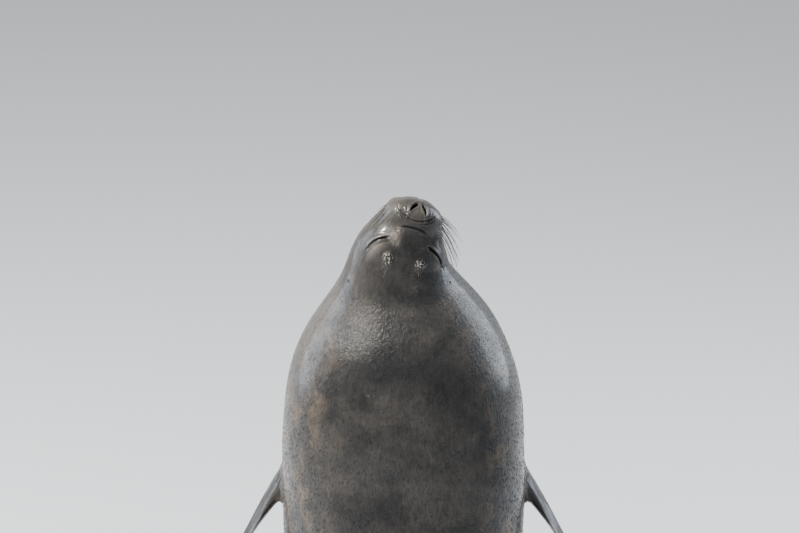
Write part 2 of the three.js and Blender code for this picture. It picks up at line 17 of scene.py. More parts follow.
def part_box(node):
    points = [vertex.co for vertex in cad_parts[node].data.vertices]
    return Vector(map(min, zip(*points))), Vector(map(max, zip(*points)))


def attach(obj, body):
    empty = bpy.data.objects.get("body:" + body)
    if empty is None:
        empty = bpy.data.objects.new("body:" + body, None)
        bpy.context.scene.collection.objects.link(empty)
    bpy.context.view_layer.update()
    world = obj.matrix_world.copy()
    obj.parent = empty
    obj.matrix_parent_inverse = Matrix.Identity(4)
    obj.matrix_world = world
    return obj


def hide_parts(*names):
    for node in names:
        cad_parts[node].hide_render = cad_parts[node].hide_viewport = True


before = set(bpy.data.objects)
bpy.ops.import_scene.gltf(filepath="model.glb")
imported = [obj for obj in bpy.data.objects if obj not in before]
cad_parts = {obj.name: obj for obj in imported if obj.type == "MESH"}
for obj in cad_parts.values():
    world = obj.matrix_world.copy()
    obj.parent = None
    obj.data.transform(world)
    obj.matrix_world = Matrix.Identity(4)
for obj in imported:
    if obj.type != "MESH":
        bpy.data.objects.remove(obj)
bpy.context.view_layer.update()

bl_info = {
    "name": "Elephant seal model",
    "version": (1, 0, 0),
    "blender": (4, 5, 0),
    "location": "View3D > Sidebar > Seal",
    "description": "Builds a life-size elephant seal on a display stand around its CAD frame",
    "category": "Object",
}

MM = 0.001

# The body, as in the part's source.
WATERLINE = {"s": 315, "at": (-7, 250, 1770)}
BODY_LENGTH = 1860
EYE_S = 109
SPINE_S = (0, 112, 150, 200, 260, 340, 480, 700, 1000, 1300, 1600, 1900)
SPINE_LEAN = (13, 13, 13, 12, 9, 5, 1, -6, -16, -28, -40, -50)
SPINE_SIDE = (20, 16, 10, 1, -3, -2.5, -1, 0, 0, 0, 0, 0)
SPINE_TWIST = (1.5, 1.5, 1.5, 1.5, 1, 0.5, 0, 0, 0, 0, 0, 0)
TRUNK_S = (0, 50, 112, 160, 205, 255, 320, 400, 540, 740, 950, 1200, 1450, 1650, 1860)
TRUNK_HALF = (59, 70, 101, 118, 134, 166, 214, 254, 284, 290, 278, 242, 186, 134, 84)
TRUNK_BACK = (46, 56, 80, 98, 120, 152, 190, 222, 250, 258, 248, 214, 160, 108, 60)
TRUNK_BELLY = (44, 56, 84, 104, 126, 160, 198, 228, 254, 262, 254, 220, 164, 108, 54)
SQUARENESS = 2.15
NOSE_CAP = {"length": 50, "power": 2.6}
TAIL_CAP = {"length": 60, "power": 2.0, "left": 0.6}
SPINE_START, SPINE_END, SPINE_STEP = -60, BODY_LENGTH + 60, 2
FACE_END = 330

# The face. Where the two sides differ, -1 is the animal's left and 1 its right.
EYE = {
    "r": 5, "l": 70, "bulge": 6.5, "radius": 31, "slant": 42,
    "long": {-1: 30, 1: 41}, "shift": {-1: -1, 1: 5.5}, "bow": 5, "open": {-1: 1.0, 1: 1.55},
    "groove": 4.4, "groove_width": 2.2, "lid": 1.9, "lid_width": 3.0, "lid_off": 2.2,
}
SOCKET = {"depth": 0.8, "radius": 50, "spread": 16}
TEAR_RIDGE = {"r": 33, "l": 35, "bulge": 3.0, "radius": 12}
# A painted highlight along the upper lid, strong on the left, faint on the right.
LID_HIGHLIGHT = {"off": -5.5, "wide": 2.4, "pale": {-1: 1.8, 1: 0.4}}
# A painted highlight on the cheek under the slit, strong on the sunlit left, faint on the right.
CHEEK_HIGHLIGHT = {"along": 0.35, "long": 0.75, "off": 14, "wide": 10, "pale": {-1: 1.7, 1: 0.4}}
PADS = {"r": 78, "l": 44, "d": -12, "flat": 0.8, "bulge": 6, "radius": 38, "pale_radius": 34}
# The nose's pale is partly its own paler tone and partly a painted highlight on its top.
NOSE = {"r": 100, "d": 30, "bulge": 6, "radius": 30, "pale": 0.7, "pale_radius": 24}
PHILTRUM = {"depth": 0.9, "width": 7, "line": 1.6, "line_width": 1.8, "top": -6, "fade": 12, "behind": 60}
SEPTUM = {"r": 101, "depth": 0.4, "width": 2.0, "length": 9}
MOUTH = {"tip": 108, "front": -21, "corner": -40, "corner_r": 20, "smile": 9, "set_back": 22, "inset": 7}
BROW = {"r": -14, "l": 38, "bump": 2.2, "radius": 13, "patch": 12.5}
NOSTRIL = {
    "r": 102.5, "l": 12.75, "shift": -2.2, "long": 12.5, "wide": 3.5, "deep": 15, "splay": 14, "taper": 0.42,
    "hook": 1.4, "rim": 1.5,
}
FRONT_TRIM = {"middle": 2.2, "side": 5.5}
# The ear's dark is painted shade in its hole.
EAR = {"s": 196, "angle": 24, "radius": 2.6, "depth": 4, "rim": 0.5, "dark": 0.6}

# Two fine folds along the lids: how far from the slit, and how deep.
LID_FOLDS = ((11, 0.8), (-12, 0.5))
LID_FOLD_WIDTH = 1.8

# The crease that runs on past the corner of the wider eye, with painted shade in it.
CORNER = {"start": 0.9, "end": 1.5, "wide": 2.2, "deep": 2.0, "dark": 0.6, "reach": 90}

# Short creases across the slit's line, past its ends: place and depth, then their common sizes.
CORNER_CREASES = ((0.5, 0.15), (0.9, 0.2), (1.35, 0.2))
CREASE = {"start": 1.12, "gap": 0.12, "width": 0.05, "length": 8, "radius": 40}

# The mound and the pit in it at the root of each brow hair and each whisker; dark is the painted shade in the
# pit.
BROW_ROOT = {
    "mound": 3.4, "mound_radius": 4.0, "pit": 3.6, "pit_radius": 2.1, "dark": 1.0, "dark_radius": 2.5,
}
WHISKER_ROOT = {
    "mound": 0.75, "mound_radius": 2.6, "pit": 0.8, "pit_radius": 1.1, "dark": 0.8, "dark_radius": 1.6,
}

# Painted highlights by the left eye's inner corner: r, l, radius, how beaded with painted glint specks, and
# how pale the painted highlight is.
GLINT_SPOTS = ((49, -29, 8, 0.6, 0.6), (34, -38, 12, 0.15, 1.5), (24, -31, 9, 0.3, 1.0))

# Painted shade by the crease and on the right of the muzzle: r, l, radius, how dark.
SHADE_SPOTS = ((66, 42, 17, 0.55), (52, 12, 12, 0.45))

# The creases of the nose bridge: r at the middle, rise to the sides, depth, width, half length, middle, tilt.
BRIDGE_FOLDS = (
    (86.8, 0.0065, 1.1, 1.6, 38, -8, 0.005),
    (81.0, 0.0058, 3.7, 2.3, 47, -6, 0.029),
    (75.5, 0.0050, 2.5, 1.8, 48, 0, 0.09),
    (70.5, 0.0030, 1.5, 1.7, 36, -3, 0.06),
    (65.0, -0.0066, 4.4, 2.0, 37, 0, 0.04),
    (59.0, -0.0040, 0.9, 1.8, 22, 6, 0.05),
)

# Wrinkles round the nostrils: distance from the nose's middle, depth, width.
NOSE_RINGS = ((27.0, 0.7, 1.5), (32.0, 0.5, 1.4), (37.5, 0.6, 1.5), (43.5, 0.4, 1.6), (50.0, 0.3, 1.8))

# The folds across the throat: where they lie on the middle line, how they bow, their depth and width.
THROAT_FOLDS = {"s": (262, 292, 326), "bow": 14, "depth": 2.2, "width": 6}

# Flippers: sizes of the whole fan, from inside the body out to the digits' tips.
FORE = {
    "s": 680, "angle": -14, "inside": 0.84, "length": 365, "root_width": 100, "width": 138,
    "root_thick": 60, "thick": 19, "digits": 5, "ridge": 0.4, "web": 0.07, "taper": 0.2, "notch": 0,
    "splay": 42, "bend": 20,
}
HIND = {
    "s": 1780, "side": 58, "length": 380, "root_width": 84, "width": 235, "root_thick": 42, "thick": 17,
    "digits": 5, "ridge": 0.45, "web": 0.07, "taper": 0, "notch": 0.26, "splay": 7, "bend": 10,
}
TAIL = {
    "s": 1790, "height": 28, "length": 135, "root_width": 62, "width": 40, "root_thick": 34, "thick": 16,
    "digits": 1, "ridge": 0, "web": 0.22, "taper": 0, "notch": 0, "splay": 0, "bend": 0,
}
NAIL = {"length": 26, "width": 8.5, "thick": 6.5, "overhang": 9, "inside": 0.95, "rows": 14, "sides": 12}

# The unwrap: the trunk's strip, then each limb beside its narrow ends, as left, lowest and step up to its
# outer face.
UNWRAP = {"long": 1.96, "round": 2 * math.pi * 0.3, "limb_scale": 0.42}
LIMB_PLACES = (
    (0.005, 0.06, 0.84), (0.84, 0.06, 0.84), (0.005, 0.165, 0.84), (0.84, 0.165, 0.84), (0.76, 0.03, 0.92),
)

# What a point far from any eye or nostril carries instead of its distance from them.
NO_EYE, NO_NOSTRIL = 99.0, 9.0

FLESH_NODES = (
    "head", "lower_jaw", "closed_eye_left", "closed_eye_right", "neck", "chest", "belly", "hips", "tail",
    "foreflipper_left", "foreflipper_right", "hindflipper_left", "hindflipper_right",
)
SIDES = {"left": -1, "right": 1}

# Faces along and across each limb, rounds of smoothing where the limbs leave the body, and the least faces
# that a whole skin and a whole coat piece have.
LIMB_ROWS, LIMB_COLUMNS = 30, 56
JOIN_ROUNDS = 24
LEAST_SKIN_FACES, LEAST_COAT_FACES = 1000, 20000


# Numbers.


def clamp01(x):
    return np.clip(x, 0, 1)


def smooth(x):
    return clamp01(x) ** 2 * (3 - 2 * clamp01(x))


def bell(x):
    return np.exp(-np.square(x))


def mix(a, b, x):
    return a + (b - a) * x


def spline(xs, ys):
    """A natural cubic spline through the points, straight beyond its ends."""
    xs, ys = np.array(xs, float), np.array(ys, float)
    n, step = len(xs), np.diff(xs)
    matrix, bends = np.eye(n), np.zeros(n)
    for i in range(1, n - 1):
        matrix[i, i - 1 : i + 2] = step[i - 1], 2 * (step[i - 1] + step[i]), step[i]
        bends[i] = 6 * ((ys[i + 1] - ys[i]) / step[i] - (ys[i] - ys[i - 1]) / step[i - 1])
    curve = np.linalg.solve(matrix, bends)
    first = (ys[1] - ys[0]) / step[0] - curve[1] * step[0] / 6
    last = (ys[-1] - ys[-2]) / step[-1] + curve[-2] * step[-1] / 6

    def at(x):
        x = np.asarray(x, float)
        i = np.clip(np.searchsorted(xs, x) - 1, 0, n - 2)
        v = (x - xs[i]) / step[i]
        u = 1 - v
        inside = u * ys[i] + v * ys[i + 1]
        inside += ((u**3 - u) * curve[i] + (v**3 - v) * curve[i + 1]) * step[i] ** 2 / 6
        inside = np.where(x < xs[0], ys[0] + first * (x - xs[0]), inside)
        return np.where(x > xs[-1], ys[-1] + last * (x - xs[-1]), inside)

    return at


def unit(v):
    return v / np.maximum(np.linalg.norm(v, axis=-1, keepdims=True), 1e-12)


# The body's frame.

lean_at, side_at, twist_at = (spline(SPINE_S, ys) for ys in (SPINE_LEAN, SPINE_SIDE, SPINE_TWIST))
half_at, back_at, belly_at = (spline(TRUNK_S, ys) for ys in (TRUNK_HALF, TRUNK_BACK, TRUNK_BELLY))


def axes(s):
    """The spine's frame at s: t towards the nose, l to the right and d towards the back."""
    at = np.clip(np.atleast_1d(np.asarray(s, float)), 0, SPINE_S[-1])
    a, b, c = (np.radians(f(at)) for f in (lean_at, side_at, twist_at))
    t = np.stack([np.sin(b), -np.sin(a) * np.cos(b), np.cos(a) * np.cos(b)], -1)
    plain = np.stack([np.zeros_like(a), -np.cos(a), -np.sin(a)], -1)
    d = plain * np.cos(c)[:, None] + np.cross(t, plain) * np.sin(c)[:, None]
    return t, np.cross(t, d), d


def spine_points():
    """Points of the spine at equal steps, walked both ways from the waterline."""
    count = (SPINE_END - SPINE_START) // SPINE_STEP
    middles = SPINE_START + (np.arange(count) + 0.5) * SPINE_STEP
    walked = np.concatenate([np.zeros((1, 3)), np.cumsum(axes(middles)[0] * SPINE_STEP, axis=0)])
    home = round((WATERLINE["s"] - SPINE_START) / SPINE_STEP)
    return np.array(WATERLINE["at"], float) + walked[home] - walked


SPINE_POINTS = spine_points()


def place(s, l, d):
    """From the body's own frame, in millimetres, to the world, in metres."""
    s = np.atleast_1d(np.asarray(s, float))
    t, right, up = axes(s)
    x = np.clip((s - SPINE_START) / SPINE_STEP, 0, len(SPINE_POINTS) - 2)
    i = x.astype(int)
    middle = SPINE_POINTS[i] + (SPINE_POINTS[i + 1] - SPINE_POINTS[i]) * (x - i)[:, None]
    return (middle + right * np.reshape(l, (-1, 1)) + up * np.reshape(d, (-1, 1))) * MM


def place_face(p):
    """From the head's frame (r, l, d) to the world."""
    p = np.atleast_2d(p)
    return place(EYE_S - p[:, 0], p[:, 1], p[:, 2])


def cap_at(s):
    nose = clamp01(1 - s / NOSE_CAP["length"])
    tail = clamp01(1 - (BODY_LENGTH - s) / TAIL_CAP["length"])
    front = (1 - nose ** NOSE_CAP["power"]) ** (1 / NOSE_CAP["power"])
    return front * (1 - tail ** TAIL_CAP["power"]) ** (1 / TAIL_CAP["power"])


def section(s, angle):
    """The plain skin's point in the head's frame."""
    s, angle = np.broadcast_arrays(np.atleast_1d(np.asarray(s, float)), np.atleast_1d(angle))
    c, n = np.cos(angle), np.sin(angle)
    high = np.where(n > 0, back_at(s), belly_at(s))
    flat = 2 / SQUARENESS
    across = half_at(s) * cap_at(s) * np.sign(c) * np.abs(c) ** flat
    upward = high * cap_at(s) * np.sign(n) * np.abs(n) ** flat
    return np.stack([EYE_S - s, across, upward], -1)


def section_normal(s, angle):
    """The plain skin's outward normal in the same frame, by small steps."""
    s, angle = np.broadcast_arrays(np.atleast_1d(np.asarray(s, float)), np.atleast_1d(angle))
    e, w = 0.4, 0.004
    along = section(np.maximum(s - e, 0), angle) - section(np.minimum(s + e, BODY_LENGTH), angle)
    around = section(s, angle + w) - section(s, angle - w)
    normal = unit(np.cross(around, along))
    return np.where((s < 0.5)[:, None], np.array([1.0, 0, 0]), normal)


def angle_at(s, l):
    """The angle at which the back lies at l to the side."""
    flat = min(0.98, (abs(l) / float(half_at(s) * cap_at(s))) ** SQUARENESS)
    return math.atan2((1 - flat) ** 0.5, math.copysign(flat**0.5, l))


def mouth_line(r):
    back = clamp01((MOUTH["tip"] - r) / (MOUTH["tip"] - MOUTH["corner_r"]))
    return MOUTH["front"] + (MOUTH["corner"] - MOUTH["front"]) * back + MOUTH["smile"] * back**4


def jaw_share(r, d, width):
    return smooth((mouth_line(r) - d) / width) * smooth((r - MOUTH["corner_r"] + 34) / 60)


def spot_frame(r, l, turn, sign):
    """A spot on the back of the head with its own axes: e1 outwards and backwards, e2 towards the brow."""
    s = EYE_S - r
    angle = angle_at(s, sign * l)
    centre, normal = section(s, angle)[0], section_normal(s, angle)[0]
    way = np.array([-math.sin(turn), sign * math.cos(turn), 0])
    e1 = unit(way - normal * way.dot(normal))
    return {"centre": centre, "normal": normal, "e1": e1, "e2": unit(np.cross(normal, e1)) * sign}


EYES = {sign: spot_frame(EYE["r"], EYE["l"], math.radians(EYE["slant"]), sign) for sign in (-1, 1)}
NOSTRILS = {
    sign: spot_frame(
        NOSTRIL["r"], NOSTRIL["l"] + sign * NOSTRIL["shift"], math.radians(90 - NOSTRIL["splay"]), sign
    )
    for sign in (-1, 1)
}


def eye_place(p, sign):
    """How far along the slit p lies, from -1 to 1, how far from it in millimetres, and from the centre."""
    eye = EYES[sign]
    rel = p - eye["centre"]
    along = (rel @ eye["e1"] - EYE["shift"][sign]) / EYE["long"][sign]
    off = rel @ eye["e2"] + EYE["bow"] * (1 - np.minimum(along**2, 1.6))
    return along, off, np.linalg.norm(rel, axis=1)


def nostril_place(p, sign):
    """How far out of the nostril p lies: under 1 is inside it."""
    spot = NOSTRILS[sign]
    rel = p - spot["centre"]
    x = rel @ spot["e1"] / NOSTRIL["long"]
    y = rel @ spot["e2"] * sign - NOSTRIL["hook"] * x * x * sign
    wide = NOSTRIL["wide"] * (1 - NOSTRIL["taper"] * np.clip(x, -1, 1))
    far = np.where(p[:, 2] > 0, 0, 9)
    return np.hypot(x, y / wide) + far


# The vibrissae's roots on one side: in rows down the muzzle pad, and in a rosette over the eye.
WHISKERS = {"rows": 5, "per_row": 7, "front": 93, "gap": 6.6, "shift": 1.6, "top": 40, "turn": 13}
BROW_ROOTS = ((0, 0), (8, 3), (-7, 4), (5, -7), (-5, -7), (2, 9), (-13, -3), (11, -4), (-14, 5))


def whisker_roots(sign):
    """(row, place in the row, s, angle) of each whisker of one side."""
    roots = []
    for row in range(WHISKERS["rows"]):
        for k in range(WHISKERS["per_row"] - (row in (0, 4))):
            r = WHISKERS["front"] - k * WHISKERS["gap"] - row * WHISKERS["shift"] - (row % 2) * 2.5
            turn = math.radians(WHISKERS["top"] - row * WHISKERS["turn"])
            roots.append((row, k, EYE_S - r, turn if sign > 0 else math.pi - turn))
    return roots


def brow_spots(sign):
    spots = []
    for dr, dl in BROW_ROOTS:
        s = EYE_S - BROW["r"] - dr
        angle = angle_at(s, sign * (BROW["l"] + dl))
        spots.append((s, angle))
    return spots


def eye_relief(p, sign, out, hollow_shade):
    """Adds the ball under the closed lids, the slit between them and the folds round it."""
    along, off, away = eye_place(p, sign)
    wide = EYE["open"][sign]
    arch = clamp01(1 - along**2)
    out += EYE["bulge"] * bell(away / EYE["radius"])
    out -= SOCKET["depth"] * bell((away - SOCKET["radius"]) / SOCKET["spread"])
    ridge = np.hypot(p[:, 0] - TEAR_RIDGE["r"], p[:, 1] - sign * TEAR_RIDGE["l"]) / TEAR_RIDGE["radius"]
    out += TEAR_RIDGE["bulge"] * bell(ridge) * (p[:, 2] > 0)
    groove = bell(off / (EYE["groove_width"] * wide)) * smooth((1.1 - np.abs(along)) / 0.4)
    out -= EYE["groove"] * (2 * wide - 1) * groove
    lid = EYE["lid_off"] + EYE["lid_off"] * wide
    rims = bell((off - lid) / EYE["lid_width"]) + bell((off + lid) / EYE["lid_width"])
    out += EYE["lid"] * arch * rims
    out -= sum(deep * bell((off - at) / LID_FOLD_WIDTH) for at, deep in LID_FOLDS) * arch**0.5 / wide
    corner = smooth((along - CORNER["start"]) / 0.15) * smooth((CORNER["end"] - along) / 0.4)
    corner = corner * bell(off / CORNER["wide"])
    out -= CORNER["deep"] * (wide - 1) * corner
    # Painted shade in the corner crease.
    np.maximum(hollow_shade, CORNER["dark"] * (wide - 1) * corner * (away < CORNER["reach"]), out=hollow_shade)
    near = bell(away / CREASE["radius"])
    for turn, deep in CORNER_CREASES:
        crease = np.abs(along) - CREASE["start"] - CREASE["gap"] * turn
        out -= deep * near * bell(crease / CREASE["width"]) * bell(off / CREASE["length"])
    # Painted shade in the slit's groove.
    np.maximum(hollow_shade, groove, out=hollow_shade)


def root_relief(p, spots, size, out, hollow_shade):
    """Adds the mound and the pit at each hair's root."""
    for s, angle in spots:
        ball = np.linalg.norm(p - section(s, angle)[0], axis=1)
        raised = size["mound"] * bell(ball / size["mound_radius"])
        out += raised - size["pit"] * bell(ball / size["pit_radius"])
        np.maximum(hollow_shade, size["dark"] * bell(ball / size["dark_radius"]), out=hollow_shade)


def opening_relief(p, sign, out, hollow_shade):
    """Adds one nostril and one ear, each a hole with a low rim."""
    nostril = nostril_place(p, sign)
    pit = smooth((1.12 - nostril) / 0.4)
    out += NOSTRIL["rim"] * bell((nostril - 1.7) / 0.65) - NOSTRIL["deep"] * pit
    # Painted shade inside the nostril.
    np.maximum(hollow_shade, smooth((1.2 - nostril) / 0.3), out=hollow_shade)
    ear = section(EAR["s"], math.radians(EAR["angle"] if sign > 0 else 180 - EAR["angle"]))[0]
    hole = np.linalg.norm(p - ear, axis=1) / EAR["radius"]
    out += EAR["rim"] * bell((hole - 1.7) / 0.8) - EAR["depth"] * bell(hole)
    # Painted shade in the ear hole.
    np.maximum(hollow_shade, EAR["dark"] * bell(hole), out=hollow_shade)


def muzzle_relief(p, out, hollow_shade):
    """Adds the muzzle's rounded front, the lip's cleft, and the wrinkles beside and over the nostrils."""
    r, l, d = p[:, 0], p[:, 1], p[:, 2]
    trim = FRONT_TRIM["middle"] + FRONT_TRIM["side"] * smooth((np.abs(l) - 8) / 44)
    out -= trim * smooth((r - 76) / 26) * smooth((24 - d) / 48)
    nose = np.sqrt((r - NOSE["r"]) ** 2 + (l * 0.8) ** 2 + (d - NOSE["d"]) ** 2)
    out += NOSE["bulge"] * bell(nose / NOSE["radius"])
    lip = smooth((PHILTRUM["top"] - d) / PHILTRUM["fade"]) * (r > PHILTRUM["behind"])
    cleft = PHILTRUM["depth"] * (bell(l / PHILTRUM["width"]) * lip)
    out -= cleft + PHILTRUM["line"] * bell(l / PHILTRUM["line_width"]) * lip
    septum = bell(l / SEPTUM["width"]) * bell((r - SEPTUM["r"]) / SEPTUM["length"]) * (d > 0)
    out -= SEPTUM["depth"] * septum
    from_nose = np.hypot(r - SEPTUM["r"], l * 0.9)
    beside = smooth((np.abs(l) - 9) / 14) * smooth((r - 62) / 14) * smooth(d / 14)
    for far, depth, width in NOSE_RINGS:
        ring = bell((from_nose - far + 1.2 * np.sin(l / 5)) / width)
        out -= depth * ring * beside
        # Painted shade in the wrinkle.
        np.maximum(hollow_shade, 0.4 * depth * ring * beside, out=hollow_shade)
    for at, rise, depth, width, half, middle, tilt in BRIDGE_FOLDS:
        off = r - at - rise * (l - middle) ** 2 - tilt * (l - middle)
        fade = smooth((half - np.abs(l - middle)) / 14) * (d > 0)
        out -= depth * (bell(off / width) - 0.3 * bell((off - 2.1 * width) / width)) * fade
        out += 0.3 * depth * bell((off + 2.1 * width) / width) * fade
        # Painted shade in the fold.
        np.maximum(hollow_shade, min(1, depth / 3) * bell(off / (0.6 * width)) * fade, out=hollow_shade)


def relief(p):
    """How far the face stands out from the plain skin, and how deep its hollows are, from 0 to 1, which sets
    their painted shade.
    """
    r, l, d = p[:, 0], p[:, 1], p[:, 2]
    out, hollow_shade = np.zeros(len(p)), np.zeros(len(p))
    for sign in (-1, 1):
        eye_relief(p, sign, out, hollow_shade)
        low = (d - PADS["d"]) * PADS["flat"]
        pad = np.sqrt((r - PADS["r"]) ** 2 + (l - sign * PADS["l"]) ** 2 + low**2)
        out += PADS["bulge"] * bell(pad / PADS["radius"])
        brow = np.hypot(r - BROW["r"], l - sign * BROW["l"])
        out += np.where(d > 0, BROW["bump"] * bell(brow / BROW["radius"]), 0)
        root_relief(p, brow_spots(sign), BROW_ROOT, out, hollow_shade)
        root_relief(p, [root[2:] for root in whisker_roots(sign)], WHISKER_ROOT, out, hollow_shade)
        opening_relief(p, sign, out, hollow_shade)
    muzzle_relief(p, out, hollow_shade)
    return out, hollow_shade


def skin_point(s, angle, grow):
    """Points of the finished skin in the head's frame, with their hollows, which set the painted shade."""
    p, normal = section(s, angle), section_normal(s, angle)
    s, angle = np.broadcast_arrays(np.atleast_1d(np.asarray(s, float)), np.atleast_1d(angle))
    out, hollow_shade = np.full(len(p), float(grow)), np.zeros(len(p))
    face = s < FACE_END
    f = p[face]
    stands, deep = relief(f)
    jaw = jaw_share(f[:, 0], f[:, 2], 9)
    lip = mouth_line(f[:, 0]) - f[:, 2]
    open_front = smooth((f[:, 0] - MOUTH["corner_r"] + 14) / 14)
    seam = bell((lip - 1.5) / 2.0) * open_front
    stands += 1.3 * bell((lip + 6) / 4.5) * open_front - 4.5 * seam
    out[face] += stands - MOUTH["inset"] * jaw * smooth((f[:, 0] + 10) / 60)
    # The mouth's seam gets painted shade too.
    hollow_shade[face] = np.maximum(deep, seam)
    moved = p.copy()
    moved[face, 0] -= MOUTH["set_back"] * jaw * smooth((f[:, 0] - 55) / 45)
    waves = np.sin(s / 61 + 2 * np.sin(angle * 2)) + np.sin(s / 37 + 3 * angle) * 0.6
    ripple = smooth((s - 240) / 200) * 1.1 * waves
    throat = clamp01(-np.sin(angle)) ** 2
    bow = THROAT_FOLDS["bow"] * np.cos(angle)
    folds = sum(bell((s - at - bow) / THROAT_FOLDS["width"]) for at in THROAT_FOLDS["s"])
    return moved + normal * (out + ripple - THROAT_FOLDS["depth"] * folds * throat)[:, None], hollow_shade


# Meshes.


def outward(points, faces):
    """The faces of a closed shell, turned the right way out."""
    volume = 0.0
    for f in faces:
        for k in range(1, f.shape[1] - 1):
            a, b, c = points[f[:, 0]], points[f[:, k]], points[f[:, k + 1]]
            volume += np.einsum("ij,ij->", a, np.cross(b, c))
    return [f[:, ::-1] for f in faces] if volume < 0 else faces


def mesh_from(name, points, faces):
    """A closed mesh from an array of points and arrays of faces of equal corner counts."""
    faces = outward(points, faces)
    mesh = bpy.data.meshes.new(name)
    mesh.vertices.add(len(points))
    mesh.vertices.foreach_set("co", points.astype(np.float32).ravel())
    corners = np.concatenate([f.ravel() for f in faces])
    sizes = np.concatenate([np.full(len(f), f.shape[1]) for f in faces])
    mesh.loops.add(len(corners))
    mesh.loops.foreach_set("vertex_index", corners.astype(np.int32))
    mesh.polygons.add(len(sizes))
    mesh.polygons.foreach_set("loop_start", np.concatenate([[0], np.cumsum(sizes)[:-1]]).astype(np.int32))
    mesh.update(calc_edges=True)
    mesh.validate()
    mesh.shade_smooth()
    return mesh


def put(name, mesh, *materials):
    """A new object in the scene, at the origin."""
    thing = bpy.data.objects.new(name, mesh)
    bpy.context.scene.collection.objects.link(thing)
    for material in materials:
        mesh.materials.append(material)
    return thing


def drop(thing):
    """Removes a helper object with its mesh."""
    mesh = thing.data
    bpy.data.objects.remove(thing)
    bpy.data.meshes.remove(mesh)


def set_values(mesh, name, values):
    """A point attribute of numbers or of vectors."""
    values = np.asarray(values, np.float32)
    kind, field = ("FLOAT_VECTOR", "vector") if values.ndim == 2 else ("FLOAT", "value")
    mesh.attributes.new(name, kind, "POINT").data.foreach_set(field, values.ravel())


def get_values(mesh, name):
    attribute = mesh.attributes[name]
    width, field = (3, "vector") if attribute.data_type == "FLOAT_VECTOR" else (1, "value")
    values = np.zeros(len(mesh.vertices) * width, np.float32)
    attribute.data.foreach_get(field, values)
    return values.reshape(-1, 3) if width == 3 else values


def get_points(mesh):
    points = np.zeros(len(mesh.vertices) * 3, np.float32)
    mesh.vertices.foreach_get("co", points)
    return points.reshape(-1, 3).astype(float)


def grid_faces(rows, columns, closed):
    """Quads of a grid of points, closed round its columns or open."""
    i, j = np.meshgrid(np.arange(rows - 1), np.arange(columns if closed else columns - 1), indexing="ij")
    k = (j + 1) % columns
    low, high = i * columns, (i + 1) * columns
    return np.stack([low + j, low + k, high + k, high + j], -1).reshape(-1, 4)


def end_faces(rows, columns):
    """Triangles that close both ends of a round grid, whose two middles come after its points."""
    j = np.arange(columns)
    k = (j + 1) % columns
    middle, last = rows * columns, (rows - 1) * columns
    near = np.stack([np.full(columns, middle), k, j], -1)
    return np.concatenate([near, np.stack([np.full(columns, middle + 1), last + j, last + k], -1)])


def full_turn(sides):
    return np.arange(sides) * 2 * math.pi / sides


def tube(points, radii, sides):
    """Points and faces of a closed tube along a path, with a radius at each of its points."""
    points = np.asarray(points, float)
    ways = unit(np.gradient(points, axis=0))
    across = unit(np.cross(ways, [0.31, 0.22, 0.93]))
    other = np.cross(ways, across)
    turns = full_turn(sides)[:, None]
    ring = across[:, None] * np.cos(turns) + other[:, None] * np.sin(turns)
    skin = (points[:, None] + ring * np.reshape(radii, (-1, 1, 1))).reshape(-1, 3)
    rows = len(points)
    return np.concatenate([skin, points[[0, -1]]]), grid_faces(rows, sides, True), end_faces(rows, sides)


def joined(parts):
    """Several tubes as one: their points, and the arrays of their quads and triangles."""
    points, quads, fans, start = [], [], [], 0
    for p, q, t in parts:
        points.append(p)
        quads.append(q + start)
        fans.append(t + start)
        start += len(p)
    return np.concatenate(points), [np.concatenate(quads), np.concatenate(fans)]


# The skin.


def skin_rows(fine, coarse):
    """Where the skin's rings lie: close over the face, opening out towards the body."""
    q = np.linspace(0.03, 1, 160)
    nose = NOSE_CAP["length"] * (1 - (1 - q ** NOSE_CAP["power"]) ** (1 / NOSE_CAP["power"]))
    tail = TAIL_CAP["length"] * (1 - np.sqrt(np.clip(1 - q**2, 0, 1)))
    end = BODY_LENGTH - np.maximum(tail[::-1], TAIL_CAP["left"])
    s = np.unique(np.concatenate([nose, np.arange(NOSE_CAP["length"], BODY_LENGTH - 60, 1.0), end]))
    radius = half_at(s) * cap_at(s)
    length = np.hypot(np.diff(s), np.diff(radius))
    wanted = mix(fine, coarse, smooth((s - 150) / 330))
    wanted = np.where(s > BODY_LENGTH - 90, coarse * 0.5, wanted)
    count = np.concatenate([[0], np.cumsum(length / ((wanted[1:] + wanted[:-1]) / 2))])
    return np.interp(np.linspace(0, count[-1], round(count[-1])), count, s)


def skin_angles(sectors):
    """The angles round each ring, closest over the back of the head; the seam is under the belly."""
    turn = np.linspace(-math.pi / 2, 1.5 * math.pi, 2001)
    crowd = 1 + 1.5 * (0.5 + 0.5 * np.sin(turn)) ** 1.5
    total = np.concatenate([[0], np.cumsum((crowd[1:] + crowd[:-1]) / 2)])
    return np.interp(np.arange(sectors) / sectors * total[-1], total, turn)


